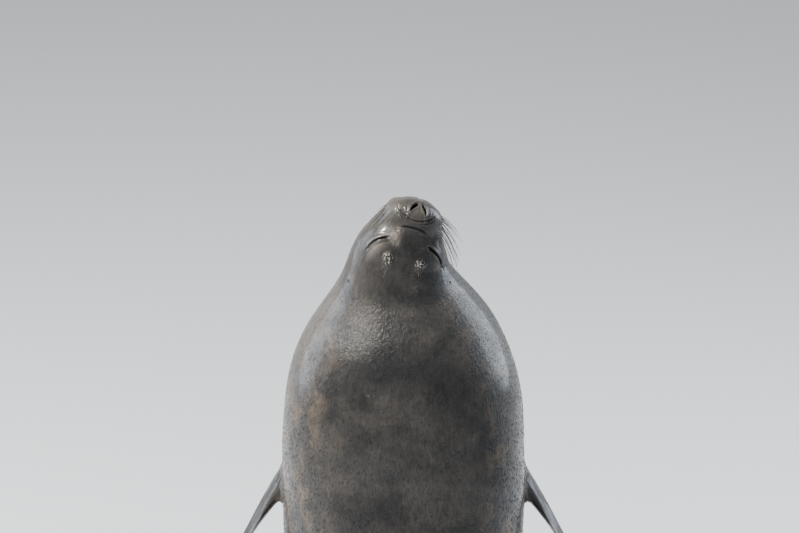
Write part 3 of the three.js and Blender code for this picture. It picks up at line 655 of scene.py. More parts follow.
def face_marks(plain, s, hollow_shade):
    """What the materials and the tufts read of the face, by name: one value for each point of the skin."""
    r, l, d = plain[:, 0], plain[:, 1], plain[:, 2]
    eye = np.tile([0.0, NO_EYE, 0.0], (len(s), 1))
    nostril, brow, pad = np.full(len(s), NO_NOSTRIL), np.zeros(len(s)), np.zeros(len(s))
    for sign in (-1, 1):
        from_pad = (plain - [PADS["r"], sign * PADS["l"], PADS["d"]]) * [1, 1, PADS["flat"]]
        pad += bell(np.linalg.norm(from_pad, axis=1) / PADS["pale_radius"])
    pad *= s < 160
    from_nose = np.linalg.norm(plain - [NOSE["r"], 0, NOSE["d"]], axis=1)
    pad += NOSE["pale"] * bell(from_nose / NOSE["pale_radius"])
    for sign in (-1, 1):
        along, off, away = eye_place(plain, sign)
        mine = (l * sign > 0) & (away < 60) & (s < 200)
        eye[mine] = np.stack([along, off / EYE["open"][sign], away], -1)[mine]
        nostril = np.minimum(nostril, nostril_place(plain, sign))
        # Painted highlights on the cheek and along the upper lid, carried in pad.
        cheek_highlight = bell(np.hypot((along - CHEEK_HIGHLIGHT["along"]) / CHEEK_HIGHLIGHT["long"], (off - CHEEK_HIGHLIGHT["off"]) / CHEEK_HIGHLIGHT["wide"]))
        edge = bell((off - LID_HIGHLIGHT["off"]) / LID_HIGHLIGHT["wide"]) * smooth((1.02 - np.abs(along)) / 0.25)
        pad += (CHEEK_HIGHLIGHT["pale"][sign] * cheek_highlight + LID_HIGHLIGHT["pale"][sign] * edge) * (away < 90) * (s < 200)
        spot = np.hypot(r - BROW["r"], l - sign * BROW["l"]) / BROW["patch"]
        brow += smooth(1.6 - 1.3 * spot) * (d > 0)
    # Painted glints: pale specks with beads, and a pale painted highlight.
    for at_r, at_l, radius, wet, pale in GLINT_SPOTS:
        spot = bell(np.hypot(r - at_r, l - at_l) / radius) * (d > 0)
        brow += wet * spot
        pad += pale * spot
    # Painted shade spots, added to the hollows' painted shade.
    for at_r, at_l, radius, dark in SHADE_SPOTS:
        spot = bell(np.hypot(r - at_r, l - at_l) / radius) * (d > -20)
        hollow_shade = np.maximum(hollow_shade, dark * spot)
    return {"hollow_shade": hollow_shade, "pad": pad, "brow": brow, "eye": eye, "nostril": nostril}


def trunk_mesh(depth, fine, coarse, sectors):
    """The head and body as one closed mesh, with the values that its materials and its coat read."""
    rows, turns = skin_rows(fine / MM, coarse / MM), skin_angles(sectors)
    s, angle = np.repeat(rows, sectors), np.tile(turns, len(rows))
    p, hollow_shade = skin_point(s, angle, -depth / MM)
    world, plain, nothing = place_face(p), section(s, angle), np.zeros(len(p))
    grid = world.reshape(len(rows), sectors, 3)
    points = np.concatenate([world, np.stack([grid[0].mean(0), grid[-1].mean(0)])])
    faces = [grid_faces(len(rows), sectors, True), end_faces(len(rows), sectors)]
    mesh = mesh_from("seal_skin", points, faces)
    marks = {
        "coat": np.stack([s, plain[:, 1], plain[:, 2]], -1) * MM,
        "lie": unit(np.gradient(grid, axis=0)).reshape(-1, 3),
        "back": np.sin(angle), **face_marks(plain, s, hollow_shade), "limb": nothing, "piece": nothing,
    }
    for name, values in marks.items():
        ends = [values[:sectors].mean(0), values[-sectors:].mean(0)]
        set_values(mesh, name, np.concatenate([values, ends]))
    return mesh


def limb_frame(spec, sign, l, d):
    """A flipper's frame: it leaves the body backwards, turned outwards by its splay."""
    t, right, up = (v[0] for v in axes(spec["s"]))
    c, n = math.cos(math.radians(spec["splay"])), math.sin(math.radians(spec["splay"]))
    out = right * sign
    return {
        "root": place(spec["s"], sign * l, d)[0] / MM,
        "along": -t * c + out * n,
        "across": up,
        "normal": out * c + t * n,
    }


def limb_point(spec, at, u, v, face, trim=0.0, rim=True):
    """A flipper's point: u from root to tip, v across from -1 to 1, on its outer or inner face."""
    web = (1 + np.cos(math.pi * spec["digits"] * (v + 1))) / 2
    reach = 1 - spec["web"] * web - spec["taper"] * (v + 1) / 2 - spec["notch"] * (1 - v * v)
    along = (spec["length"] - trim) * u * (1 + (reach - 1) * u * u)
    wide = mix(spec["root_width"], spec["width"], smooth(u * 1.25)) / 2 * v - trim * v**9
    ridges = 1 + spec["ridge"] * (0.5 - web) * smooth((u - 0.3) / 0.3)
    plain = mix(spec["root_thick"], spec["thick"], smooth(u * 1.5)) / 2 * (1 - 0.55 * u**3)
    high = plain * np.sqrt(1 - 0.85 * v * v) * ridges - trim
    if rim:
        high = high * np.sqrt(np.clip(1.02 - np.abs(v) ** 12, 0, 1)) * np.sqrt(np.clip(1.02 - u**24, 0, 1))
    bend = math.radians(spec["bend"]) / spec["length"]
    ahead = np.sin(bend * along) / bend if bend else along
    inwards = (1 - np.cos(bend * along)) / bend if bend else 0 * along
    point = at["root"] + at["along"] * ahead[:, None] + at["across"] * wide[:, None]
    return point + at["normal"] * (face * high - inwards)[:, None], np.stack([along, wide, face * high], -1)


def limb_list():
    """Sizes, side and frame of each limb: a fore and a hind flipper on either side, and the tail."""
    limbs = []
    shoulder = section(FORE["s"], math.radians(FORE["angle"]))[0] * FORE["inside"]
    for sign in (-1, 1):
        limbs.append((FORE, sign, limb_frame(FORE, sign, shoulder[1], shoulder[2])))
        limbs.append((HIND, sign, limb_frame(HIND, sign, HIND["side"], 0)))
    ahead, right, up = (v[0] for v in axes(TAIL["s"]))
    root = place(TAIL["s"], 0, TAIL["height"])[0] / MM
    limbs.append((TAIL, 1, {"root": root, "along": -ahead, "across": right, "normal": up}))
    return limbs


LIMBS = limb_list()


def limbs_mesh(depth, rows, columns):
    """The four flippers and the tail as closed shells in one mesh."""
    points, faces, values = [], [], {name: [] for name in ("coat", "lie", "piece", "back")}
    across = np.linspace(-1, 1, columns + 1)
    u = np.sin(np.linspace(0, 1, rows + 1) * math.pi / 2) ** 0.9
    v = np.sin(across * math.pi / 2) * 0.6 + across * 0.4
    uu, vv = (a.ravel() for a in np.meshgrid(u, v, indexing="ij"))
    count = len(uu)
    index = np.arange(count).reshape(rows + 1, columns + 1)
    rim = np.concatenate([index[:-1, 0], index[-1, :-1], index[:0:-1, -1], index[0, :0:-1]])
    next_rim = np.roll(rim, -1)
    sheet = grid_faces(rows + 1, columns + 1, False)
    edge = np.stack([next_rim, rim, rim + count, next_rim + count], -1)
    shell = np.concatenate([sheet[:, ::-1], sheet + count, edge])
    for number, (spec, _, frame_at) in enumerate(LIMBS):
        for face in (1, -1):
            world, own = limb_point(spec, frame_at, uu, vv, face, depth / MM * 0.6)
            points.append(world * MM)
            values["coat"].append(own * MM + [3 + number, 0, 0])
            ahead = np.gradient(world.reshape(rows + 1, columns + 1, 3), axis=0).reshape(-1, 3)
            values["lie"].append(unit(ahead))
            values["piece"].append(np.full(count, number + 1.0))
            values["back"].append(np.full(count, 0.2 * face))
        faces += [f + 2 * count * number for f in outward(np.concatenate(points[-2:]), [shell])]
    mesh = mesh_from("seal_limbs", np.concatenate(points), [np.concatenate(faces)])
    total = len(mesh.vertices)
    for name, parts in values.items():
        set_values(mesh, name, np.concatenate(parts))
    for name, each in (("hollow_shade", 0.0), ("pad", 0.0), ("brow", 0.0), ("nostril", NO_NOSTRIL), ("limb", 1.0)):
        set_values(mesh, name, np.full(total, each))
    set_values(mesh, "eye", np.tile([0.0, NO_EYE, NO_EYE], (total, 1)))
    return mesh


def spread(values, edges, count):
    """The mean of each point's neighbours."""
    total, times = np.zeros((count,) + values.shape[1:]), np.zeros(count)
    for a, b in ((0, 1), (1, 0)):
        np.add.at(total, edges[:, a], values[edges[:, b]])
        np.add.at(times, edges[:, a], 1)
    times = np.maximum(times, 1)
    return total / (times[:, None] if values.ndim == 2 else times)


def soften_joins(mesh, reach, rounds):
    """Rounds the line where the flippers leave the body, and blends their colour across it."""
    edges = np.zeros(len(mesh.edges) * 2, np.int32)
    mesh.edges.foreach_get("vertices", edges)
    edges = edges.reshape(-1, 2)
    points, limb = get_points(mesh), get_values(mesh, "limb").astype(float)
    piece = get_values(mesh, "piece")
    meet = edges[np.abs(piece[edges[:, 0]] - piece[edges[:, 1]]) > 0.5]
    line = points[np.unique(meet)]
    tree = BVHTree.FromPolygons([Vector(p) for p in line], [(i, i, i) for i in range(len(line))])
    near = np.zeros(len(points))
    low, high = line.min(0) - reach, line.max(0) + reach
    for i in np.nonzero(((points > low) & (points < high)).all(1))[0]:
        hit = tree.find_nearest(Vector(points[i]), reach)
        if hit[3] is not None:
            near[i] = 1 - hit[3] / reach
    weight = smooth(near)
    busy = np.unique(edges[(weight[edges] > 0).any(1)])
    lookup = np.full(len(points), -1)
    lookup[busy] = np.arange(len(busy))
    kept = edges[(lookup[edges] >= 0).all(1)]
    kept = lookup[kept]
    soft, tone, pull = points[busy], limb[busy], weight[busy]
    for _ in range(rounds):
        soft += (spread(soft, kept, len(busy)) - soft) * (0.6 * pull)[:, None]
        tone += (spread(tone, kept, len(busy)) - tone) * 0.8 * pull
    points[busy], limb[busy] = soft, tone
    mesh.vertices.foreach_set("co", points.astype(np.float32).ravel())
    mesh.attributes["limb"].data.foreach_set("value", limb.astype(np.float32))
    mesh.update()


def unwrap_places(coat, piece, back):
    """Where each point lies on the unwrap: the trunk rolled out flat, the limbs beside its narrow ends."""
    s, across, up = coat[:, 0], coat[:, 1], coat[:, 2]
    angle = np.mod(np.arctan2(up, across) + math.pi / 2, 2 * math.pi) - math.pi
    radius = np.hypot(half_at(s / MM), back_at(s / MM)) * MM * 0.7071
    u = 0.01 + s / UNWRAP["long"]
    v = 0.5 + angle * radius * cap_at(np.clip(s / MM, 1, BODY_LENGTH - 1)) / UNWRAP["round"]
    number, scale = np.round(piece), UNWRAP["limb_scale"]
    for limb, (left, low, step_up) in enumerate(LIMB_PLACES, 1):
        mine = number == limb
        u[mine] = left + np.mod(coat[mine, 0], 1) * scale * 0.9
        v[mine] = low + np.where(back[mine] > 0, step_up, 0.0) + coat[mine, 1] * scale
    return np.stack([clamp01(u), clamp01(v)], -1)


def unwrap(mesh):
    """The unwrap as the mesh's UV map, cut along the belly's seam."""
    coat, piece, back = (get_values(mesh, name) for name in ("coat", "piece", "back"))
    flat = unwrap_places(coat.astype(float), piece, back)
    corners = np.zeros(len(mesh.loops), np.int32)
    mesh.loops.foreach_get("vertex_index", corners)
    starts = np.zeros(len(mesh.polygons), np.int32)
    mesh.polygons.foreach_get("loop_start", starts)
    uv = flat[corners]
    face = np.zeros(len(corners), int)
    face[starts[1:]] = 1
    face = np.cumsum(face)
    highest = np.maximum.reduceat(uv[:, 1], starts)[face]
    tall = highest - np.minimum.reduceat(uv[:, 1], starts)[face]
    cut = (tall > 0.25 * (np.abs(highest - 0.5) + 0.02)) & (tall > 0.03) & (uv[:, 1] < 0.5)
    uv[cut, 1] = 1 - uv[cut, 1]
    mesh.uv_layers.new(name="OFBake").data.foreach_set("uv", uv.astype(np.float32).ravel())


def skin_surface():
    """The skin as a search tree, for what sits on it."""
    skin = bpy.data.objects["seal_skin"]
    return BVHTree.FromPolygons(
        [v.co for v in skin.data.vertices], [tuple(p.vertices) for p in skin.data.polygons]
    )


# Shader nodes.


class Nodes:
    """Places the nodes of one tree and joins them."""

    def __init__(self, tree):
        self.tree = tree

    def feed(self, socket, value):
        """Joins another socket to this one, or sets a plain value on it."""
        if isinstance(value, bpy.types.NodeSocket):
            self.tree.links.new(value, socket)
        else:
            socket.default_value = value

    def node(self, kind, values=None, **settings):
        node = self.tree.nodes.new(kind)
        for name, value in settings.items():
            setattr(node, name, value)
        for key, value in (values or {}).items():
            self.feed(node.inputs[key], value)
        return node

    def math(self, operation, *values, clamp=False):
        node = self.node("ShaderNodeMath", dict(enumerate(values)), operation=operation, use_clamp=clamp)
        return node.outputs[0]

    def mix(self, factor, a, b, blend="MIX"):
        node = self.node("ShaderNodeMix", {0: factor}, data_type="RGBA", blend_type=blend)
        for index, colour in ((6, a), (7, b)):
            linked = isinstance(colour, bpy.types.NodeSocket)
            self.feed(node.inputs[index], colour if linked else (*colour, 1))
        return node.outputs[2]

    def step(self, value, low, high, to_low=0.0, to_high=1.0):
        """A soft step: from to_low at low to to_high at high."""
        names = ("Value", "From Min", "From Max", "To Min", "To Max")
        values = dict(zip(names, (value, low, high, to_low, to_high)))
        return self.node("ShaderNodeMapRange", values, interpolation_type="SMOOTHSTEP").outputs[0]

    def noise(self, vector, scale, detail=2.0, roughness=0.5, distortion=0.0):
        names = ("Vector", "Scale", "Detail", "Roughness", "Distortion")
        values = dict(zip(names, (vector, scale, detail, roughness, distortion)))
        return self.node("ShaderNodeTexNoise", values).outputs["Fac"]

    def stretched(self, vector, scale):
        values = {"Vector": vector, "Scale": scale}
        return self.node("ShaderNodeMapping", values, vector_type="POINT").outputs[0]

    def bump(self, height, strength, distance):
        values = {"Height": height, "Strength": strength, "Distance": distance}
        return self.node("ShaderNodeBump", values).outputs[0]

    def value(self, name):
        """A number that the mesh carries."""
        return self.node("ShaderNodeAttribute", attribute_name=name).outputs["Fac"]

    def vector(self, name):
        return self.node("ShaderNodeAttribute", attribute_name=name).outputs["Vector"]

    def parts(self, vector):
        return self.node("ShaderNodeSeparateXYZ", {0: vector}).outputs

    def group(self, tree, **values):
        node = self.node("ShaderNodeGroup", node_tree=tree)
        for name, value in values.items():
            self.feed(node.inputs[name], value)
        return node.outputs


SOCKETS = {"f": "NodeSocketFloat", "v": "NodeSocketVector", "c": "NodeSocketColor"}


def shader_group(name, inputs, outputs):
    """An empty group with named sockets; returns its Nodes, its inputs and its outputs."""
    tree = bpy.data.node_groups.new(name, "ShaderNodeTree")
    for label, kind in inputs.items():
        tree.interface.new_socket(label, in_out="INPUT", socket_type=SOCKETS[kind])
    for label, kind in outputs.items():
        tree.interface.new_socket(label, in_out="OUTPUT", socket_type=SOCKETS[kind])
    given = tree.nodes.new("NodeGroupInput").outputs
    return Nodes(tree), given, tree.nodes.new("NodeGroupOutput").inputs


def lie_group():
    """The wet coat's relief: fine hairs and flat locks, both drawn out along the body."""
    n, given, out = shader_group("Coat lie", {"Coat": "v", "Fineness": "f"}, {"Height": "f", "Lock": "f"})
    hairs = n.noise(n.stretched(given["Coat"], (90, 620, 620)), given["Fineness"], 2, 0.6)
    locks = n.noise(n.stretched(given["Coat"], (34, 150, 150)), given["Fineness"], 3, 0.55, 0.6)
    swells = n.noise(n.stretched(given["Coat"], (14, 30, 30)), given["Fineness"], 2, 0.5)
    height = n.math("ADD", n.math("MULTIPLY", hairs, 0.35), n.math("MULTIPLY", locks, 0.75))
    height = n.math("ADD", height, n.math("MULTIPLY", swells, 0.8))
    n.feed(out["Height"], height)
    n.feed(out["Lock"], n.step(locks, 0.3, 0.7))


def scratch_group():
    """A thin scratch from one point of the coat to another, which wanders a little from the straight line."""
    inputs = {"Coat": "v", "From": "v", "To": "v", "Width": "f"}
    n, given, out = shader_group("Scratch", inputs, {"Mask": "f"})
    wander = 0.006

    def vector_math(operation, values, output=0):
        return n.node("ShaderNodeVectorMath", values, operation=operation).outputs[output]

    noise = n.node("ShaderNodeTexNoise", {"Vector": given["Coat"], "Scale": 60.0, "Detail": 1.0})
    shift = vector_math("SCALE", {0: noise.outputs["Color"], "Scale": wander})
    at = vector_math("ADD", {0: given["Coat"], 1: shift})
    at = vector_math("SUBTRACT", {0: at, 1: (wander / 2,) * 3})
    along = vector_math("SUBTRACT", {0: given["To"], 1: given["From"]})
    rel = vector_math("SUBTRACT", {0: at, 1: given["From"]})
    share = n.math(
        "DIVIDE", vector_math("DOT_PRODUCT", {0: rel, 1: along}, "Value"),
        vector_math("DOT_PRODUCT", {0: along, 1: along}, "Value"), clamp=True,
    )
    on_line = vector_math("SCALE", {0: along, "Scale": share})
    gap = vector_math("LENGTH", {0: vector_math("SUBTRACT", {0: rel, 1: on_line})}, "Value")
    near = n.math("DIVIDE", gap, given["Width"])
    taper = n.math("MULTIPLY", n.math("MULTIPLY", share, n.math("SUBTRACT", 1.0, share)), 4.0)
    wide = n.math("ADD", n.math("MULTIPLY", taper, 0.8), 0.2)
    n.feed(out["Mask"], n.step(n.math("DIVIDE", near, wide), 1.2, 0.5))


def markings_group():
    """The coat's colour: dark back, paler sides and belly, brown mottles and the dark flippers; the pale
    reaches higher on the neck, partly its own tone and partly a painted sky reflection.
    """
    inputs = {"Coat": "v", "Back": "f", "Limb": "f"}
    inputs.update({label: "c" for label in ("Dark", "Mid", "Pale", "Brown", "Flipper")})
    n, given, out = shader_group("Coat markings", inputs, {"Color": "c", "Cloud": "f"})
    coat = given["Coat"]
    cloud = n.noise(coat, 7.0, 4, 0.55, 0.3)
    blotch = n.noise(n.stretched(coat, (0.8, 1, 1)), 19.0, 4, 0.62, 0.4)
    fleck = n.noise(n.stretched(coat, (0.6, 1, 1)), 95.0, 3, 0.6)
    colour = n.mix(n.step(cloud, 0.36, 0.66), given["Dark"], given["Mid"])
    height = n.math("ADD", given["Back"], n.math("MULTIPLY", n.math("SUBTRACT", cloud, 0.5), 0.8))
    along = n.parts(coat)[0]
    # The pale sides reach higher on the neck: partly its own paler tone, partly a painted sky reflection.
    neck = n.math("MULTIPLY", n.step(along, 0.19, 0.25), n.step(along, 0.8, 0.4, 0.1, 0.42))
    colour = n.mix(n.step(n.math("SUBTRACT", height, neck), 0.45, -0.75), colour, given["Pale"])
    side = n.step(given["Back"], 0.95, 0.55)
    behind_head = n.step(along, 0.13, 0.24, 0.05, 1.0)
    brown = n.math("MULTIPLY", n.step(blotch, 0.46, 0.66), n.math("MULTIPLY", side, behind_head))
    colour = n.mix(n.math("MULTIPLY", brown, 0.8), colour, given["Brown"])
    dark_spot = n.math("MULTIPLY", n.step(blotch, 0.47, 0.36), 0.35)
    colour = n.mix(dark_spot, colour, given["Dark"])
    colour = n.mix(n.step(fleck, 0.35, 0.72, 0.0, 0.3), colour, (0.9, 0.87, 0.82), "SOFT_LIGHT")
    colour = n.mix(n.step(fleck, 0.5, 0.32, 0.0, 0.3), colour, (0.1, 0.09, 0.08), "SOFT_LIGHT")
    n.feed(out["Color"], n.mix(given["Limb"], colour, given["Flipper"]))
    n.feed(out["Cloud"], cloud)


WATER_IOR = 1.33


def new_material(name, **plain):
    """A material with its Nodes and the inputs of its Principled shader, with plain values set on these."""
    material = bpy.data.materials.new(name)
    material.use_nodes = True
    tree = material.node_tree
    tree.nodes.clear()
    shader = tree.nodes.new("ShaderNodeBsdfPrincipled")
    output = tree.nodes.new("ShaderNodeOutputMaterial")
    tree.links.new(shader.outputs[0], output.inputs[0])
    for key, value in plain.items():
        shader.inputs[key.replace("_", " ")].default_value = value
    return material, Nodes(tree), shader.inputs


# Scratches of the coat: from, to and width, in metres along the body and in its section.
SCRATCHES = (
    ((0.254, 0.148, 0.073), (0.284, 0.174, 0.070), 0.0018),
    ((0.268, 0.1405, 0.1024), (0.278, 0.128, 0.125), 0.0016),
    ((0.167, 0.021, 0.100), (0.193, 0.044, 0.108), 0.0011),
    ((0.170, 0.042, 0.0975), (0.191, 0.026, 0.1106), 0.0011),
    ((0.420, -0.090, 0.215), (0.455, -0.060, 0.230), 0.0022),
)


def hide_material(settings, tuft):
    """The wet coat, on the skin with its fine relief, and on the tufts with their paler tips."""
    name = "wet_tufts" if tuft else "wet_hide"
    material, n, surface = new_material(name, Coat_Roughness=0.15, Coat_IOR=WATER_IOR, IOR=WATER_IOR)
    groups = bpy.data.node_groups
    coat = n.vector("coat")
    colours = {
        label: (*getattr(settings, label.lower()), 1) for label in ("Dark", "Mid", "Pale", "Brown", "Flipper")
    }
    marks = n.group(groups["Coat markings"], Coat=coat, Back=n.value("back"), Limb=n.value("limb"), **colours)
    lie = n.group(groups["Coat lie"], Coat=coat, Fineness=1.0)
    # pad carries the muzzle pads' paler tone and also the painted highlights by the eyes and on the nose.
    colour = n.mix(n.math("MULTIPLY", n.value("pad"), 0.55), marks["Color"], settings.pad)
    colour = n.mix(n.step(lie["Lock"], 0.1, 0.9, 0.0, 0.45), colour, (0.75, 0.73, 0.7), "SOFT_LIGHT")
    for start, end, width in SCRATCHES:
        mask = n.group(groups["Scratch"], Coat=coat, From=start, To=end, Width=width)["Mask"]
        colour = n.mix(n.math("MULTIPLY", mask, 170 * width), colour, (0.2, 0.19, 0.18))
    if tuft:
        along = n.parts(n.vector("blade"))[0]
        colour = n.mix(n.step(along, 0.1, 1.0, 0.0, 0.4), colour, (0.8, 0.78, 0.75), "SOFT_LIGHT")
    else:
        along, off, _ = n.parts(n.vector("eye"))
        # The slit painted dark: partly the lids' own dark rims, partly painted shade in the groove.
        wide = n.math("SQRT", n.math("SUBTRACT", 1.05, n.math("MULTIPLY", along, along), clamp=True))
        slit = n.step(n.math("DIVIDE", n.math("ABSOLUTE", off), n.math("ADD", wide, 0.02)), 2.1, 1.2)
        slit = n.math("MULTIPLY", slit, n.step(n.math("ABSOLUTE", along), 1.08, 0.98))
        # Painted shade inside the nostrils.
        dark = n.math("MAXIMUM", slit, n.step(n.value("nostril"), 1.15, 0.85))
        # Painted shade in the hollows, folds, pits and the painted shade spots.
        dark = n.math("MAXIMUM", dark, n.math("MULTIPLY", n.value("hollow_shade"), 0.8))
        brow = n.value("brow")
        # Pale specks over the brow patches and glint spots are painted glints; dark specks go with them.
        speck = n.noise(n.stretched(coat, (0.7, 1, 1)), 300.0, 1, 0.4, 0.3)
        colour = n.mix(n.math("MULTIPLY", n.step(speck, 0.52, 0.62), brow), colour, (0.34, 0.31, 0.27))
        dark = n.math("MAXIMUM", dark, n.math("MULTIPLY", n.step(speck, 0.47, 0.38), brow))
        colour = n.mix(n.math("MULTIPLY", dark, 0.94), colour, (0.006, 0.005, 0.005))
        beads = n.math("MULTIPLY", n.math("MULTIPLY", speck, brow), 1.5)
        n.feed(surface["Normal"], n.bump(n.math("ADD", lie["Height"], beads), 0.8, 0.0022))
    n.feed(surface["Base Color"], colour)
    gloss = n.step(marks["Cloud"], 0.3, 0.7, settings.roughness - 0.08, settings.roughness + 0.1)
    n.feed(surface["Roughness"], gloss)
    wet = settings.film * (0.7 if tuft else 1)
    n.feed(surface["Coat Weight"], n.step(n.noise(coat, 24.0, 3), 0.35, 0.68, wet * 0.45, wet))
    return material


def horn_material(colour, pale):
    """Horn of nails and whiskers: streaks along the length and a paler tip."""
    material, n, surface = new_material("horn", Coat_Weight=0.3, Coat_Roughness=0.1, IOR=1.54)
    at = n.vector("blade")
    streak = n.noise(n.stretched(at, (3, 40, 1)), 2.0, 3, 0.6)
    tone = n.mix(n.step(n.parts(at)[0], 0.35, 1.0, 0.0, 0.75), colour, pale)
    tone = n.mix(n.step(streak, 0.4, 0.65, 0.0, 0.5), tone, tuple(c * 0.4 for c in colour))
    n.feed(surface["Base Color"], tone)
    n.feed(surface["Roughness"], n.step(streak, 0.3, 0.7, 0.22, 0.42))
    n.feed(surface["Normal"], n.bump(streak, 0.3, 0.0004))
    return material


def wood_material(light, dark):
    """Dark oiled wood: long bands, fine pores and a satin finish."""
    material, n, surface = new_material("oiled_wood", Coat_Weight=0.15, Coat_Roughness=0.3)
    at = n.node("ShaderNodeTexCoord").outputs["Object"]
    grain = n.stretched(at, (7, 0.55, 7))
    warp = n.noise(grain, 1.6, 3, 0.5, 0.8)
    rings = n.math("FRACT", n.math("MULTIPLY", warp, 9.0))
    band = n.math("MULTIPLY", n.step(rings, 0.0, 0.75), n.step(rings, 1.0, 0.85))
    pores = n.noise(n.stretched(at, (420, 12, 420)), 1.0, 2, 0.7)
    tone = n.mix(band, light, dark)
    tone = n.mix(n.step(pores, 0.56, 0.7, 0.0, 0.6), tone, tuple(c * 0.35 for c in dark))
    n.feed(surface["Base Color"], tone)
    n.feed(surface["Roughness"], n.step(band, 0.0, 1.0, 0.34, 0.48))
    height = n.math("SUBTRACT", n.math("MULTIPLY", band, 0.3), n.step(pores, 0.5, 0.7))
    n.feed(surface["Normal"], n.bump(height, 0.35, 0.0008))
    return material


def steel_material(colour):
    """Brushed steel, with fine lines round the rods."""
    material, n, surface = new_material("brushed_steel", Metallic=1.0)
    at = n.node("ShaderNodeTexCoord").outputs["Object"]
    lines = n.noise(n.stretched(at, (18, 18, 900)), 1.0, 2, 0.6)
    tone = n.mix(n.step(lines, 0.3, 0.7), tuple(c * 0.82 for c in colour), colour)
    n.feed(surface["Base Color"], tone)
    n.feed(surface["Roughness"], n.step(n.noise(at, 14.0, 3, 0.5), 0.3, 0.7, 0.24, 0.38))
    n.feed(surface["Normal"], n.bump(lines, 0.12, 0.0003))
    return material


def lid_material():
    """The dark wet skin of the lids' rims."""
    material, n, surface = new_material("lid_rim", Coat_Weight=0.6, Coat_Roughness=0.2, Coat_IOR=WATER_IOR)
    grain = n.noise(n.node("ShaderNodeTexCoord").outputs["Object"], 900.0, 2)
    n.feed(surface["Base Color"], n.mix(grain, (0.010, 0.008, 0.008), (0.04, 0.034, 0.03)))
    n.feed(surface["Roughness"], n.step(grain, 0.3, 0.7, 0.25, 0.4))
    return material


def floor_material(colour):
    """A pale floor, plain but for a very faint change of tone."""
    material, n, surface = new_material("pale_floor", Roughness=0.9)
    noise = n.noise(n.node("ShaderNodeTexCoord").outputs["Object"], 0.8, 2)
    n.feed(surface["Base Color"], n.mix(noise, colour, tuple(c * 0.985 for c in colour)))
    return material


# Geometry nodes.


def geometry_tree(name, inputs):
    """An empty geometry tree with named inputs; returns its Nodes, inputs, outputs and the inputs' ids."""
    tree = bpy.data.node_groups.new(name, "GeometryNodeTree")
    tree.interface.new_socket("Geometry", in_out="INPUT", socket_type="NodeSocketGeometry")
    ids = {}
    for label, kind in inputs.items():
        socket = tree.interface.new_socket(label, in_out="INPUT", socket_type="NodeSocket" + kind)
        ids[label] = socket.identifier
    tree.interface.new_socket("Geometry", in_out="OUTPUT", socket_type="NodeSocketGeometry")
    given = tree.nodes.new("NodeGroupInput").outputs
    return Nodes(tree), given, tree.nodes.new("NodeGroupOutput").inputs, ids


def scattered(n, given, points, instance, out, **turned):
    """Puts an object's mesh on each point, makes the copies real, sets their material and hands them out."""
    mesh = n.node("GeometryNodeObjectInfo", {"Object": given[instance]}).outputs["Geometry"]
    values = {"Points": points, "Instance": mesh, **turned}
    placed = n.node("GeometryNodeInstanceOnPoints", values).outputs[0]
    real = n.node("GeometryNodeRealizeInstances", {"Geometry": placed}).outputs[0]
    done = n.node("GeometryNodeSetMaterial", {"Geometry": real, "Material": given["Material"]})
    n.feed(out[0], done.outputs[0])


def grown(source, n, ids, values, name):
    """The tree's result on a source object as a plain mesh, with the modifier gone again."""
    modifier = source.modifiers.new("grow", "NODES")
    modifier.node_group = n.tree
    for label, value in values.items():
        modifier[ids[label]] = value
    ready = source.evaluated_get(bpy.context.evaluated_depsgraph_get())
    mesh = bpy.data.meshes.new_from_object(ready)
    mesh.name = name
    source.modifiers.remove(modifier)
    return mesh


def tuft_tree():
    """Small wet tufts along the coat's lie: one for each random point, thick where the skin says."""
    inputs = {
        "Density": "Float", "Length": "Float", "Width": "Float", "Lift": "Float", "Seed": "Int",
        "Tuft": "Object", "Material": "Material",
    }
    n, given, out, ids = geometry_tree("Wet tufts", inputs)

    def attribute(name, kind):
        node = n.node("GeometryNodeInputNamedAttribute", {"Name": name}, data_type=kind)
        return next(o for o in node.outputs if o.enabled and o.name == "Attribute")

    def chance(low, high, seed):
        node = n.node("FunctionNodeRandomValue", data_type="FLOAT")
        places = [s for s in node.inputs if s.enabled]
        for socket in places:
            if socket.name == "Min":
                socket.default_value = low
            elif socket.name == "Max":
                socket.default_value = high
            elif socket.name == "Seed":
                n.tree.links.new(n.math("ADD", given["Seed"], float(seed)), socket)
        return next(o for o in node.outputs if o.enabled)

    thick = n.math("MULTIPLY", attribute("thick", "FLOAT"), given["Density"])
    values = {"Mesh": given["Geometry"], "Density": thick, "Seed": given["Seed"]}
    points = n.node("GeometryNodeDistributePointsOnFaces", values).outputs
    lie = {"Primary Axis": points["Normal"], "Secondary Axis": attribute("lie", "FLOAT_VECTOR")}
    stand = n.node("FunctionNodeAxesToRotation", lie, primary_axis="Z", secondary_axis="X").outputs[0]
    lift = n.math("MULTIPLY", given["Lift"], chance(-1.3, -0.5, 1))
    values = {0: chance(-0.5, 0.5, 2), 1: lift, 2: chance(-0.28, 0.28, 3)}
    turn = n.node("ShaderNodeCombineXYZ", values).outputs[0]
    euler = n.node("FunctionNodeEulerToRotation", {0: turn}).outputs[0]
    rotation = n.node("FunctionNodeRotateRotation", {0: stand, 1: euler}, rotation_space="LOCAL").outputs[0]
    size = n.math("MULTIPLY", attribute("tuft_size", "FLOAT"), chance(0.65, 1.25, 4))
    long = n.math("MULTIPLY", given["Length"], size)
    wide = n.math("MULTIPLY", n.math("MULTIPLY", given["Width"], size), chance(0.7, 1.3, 5))
    scale = n.node("ShaderNodeCombineXYZ", {0: long, 1: wide, 2: wide}).outputs[0]
    scattered(n, given, points["Points"], "Tuft", out, Rotation=rotation, Scale=scale)
    return n, ids


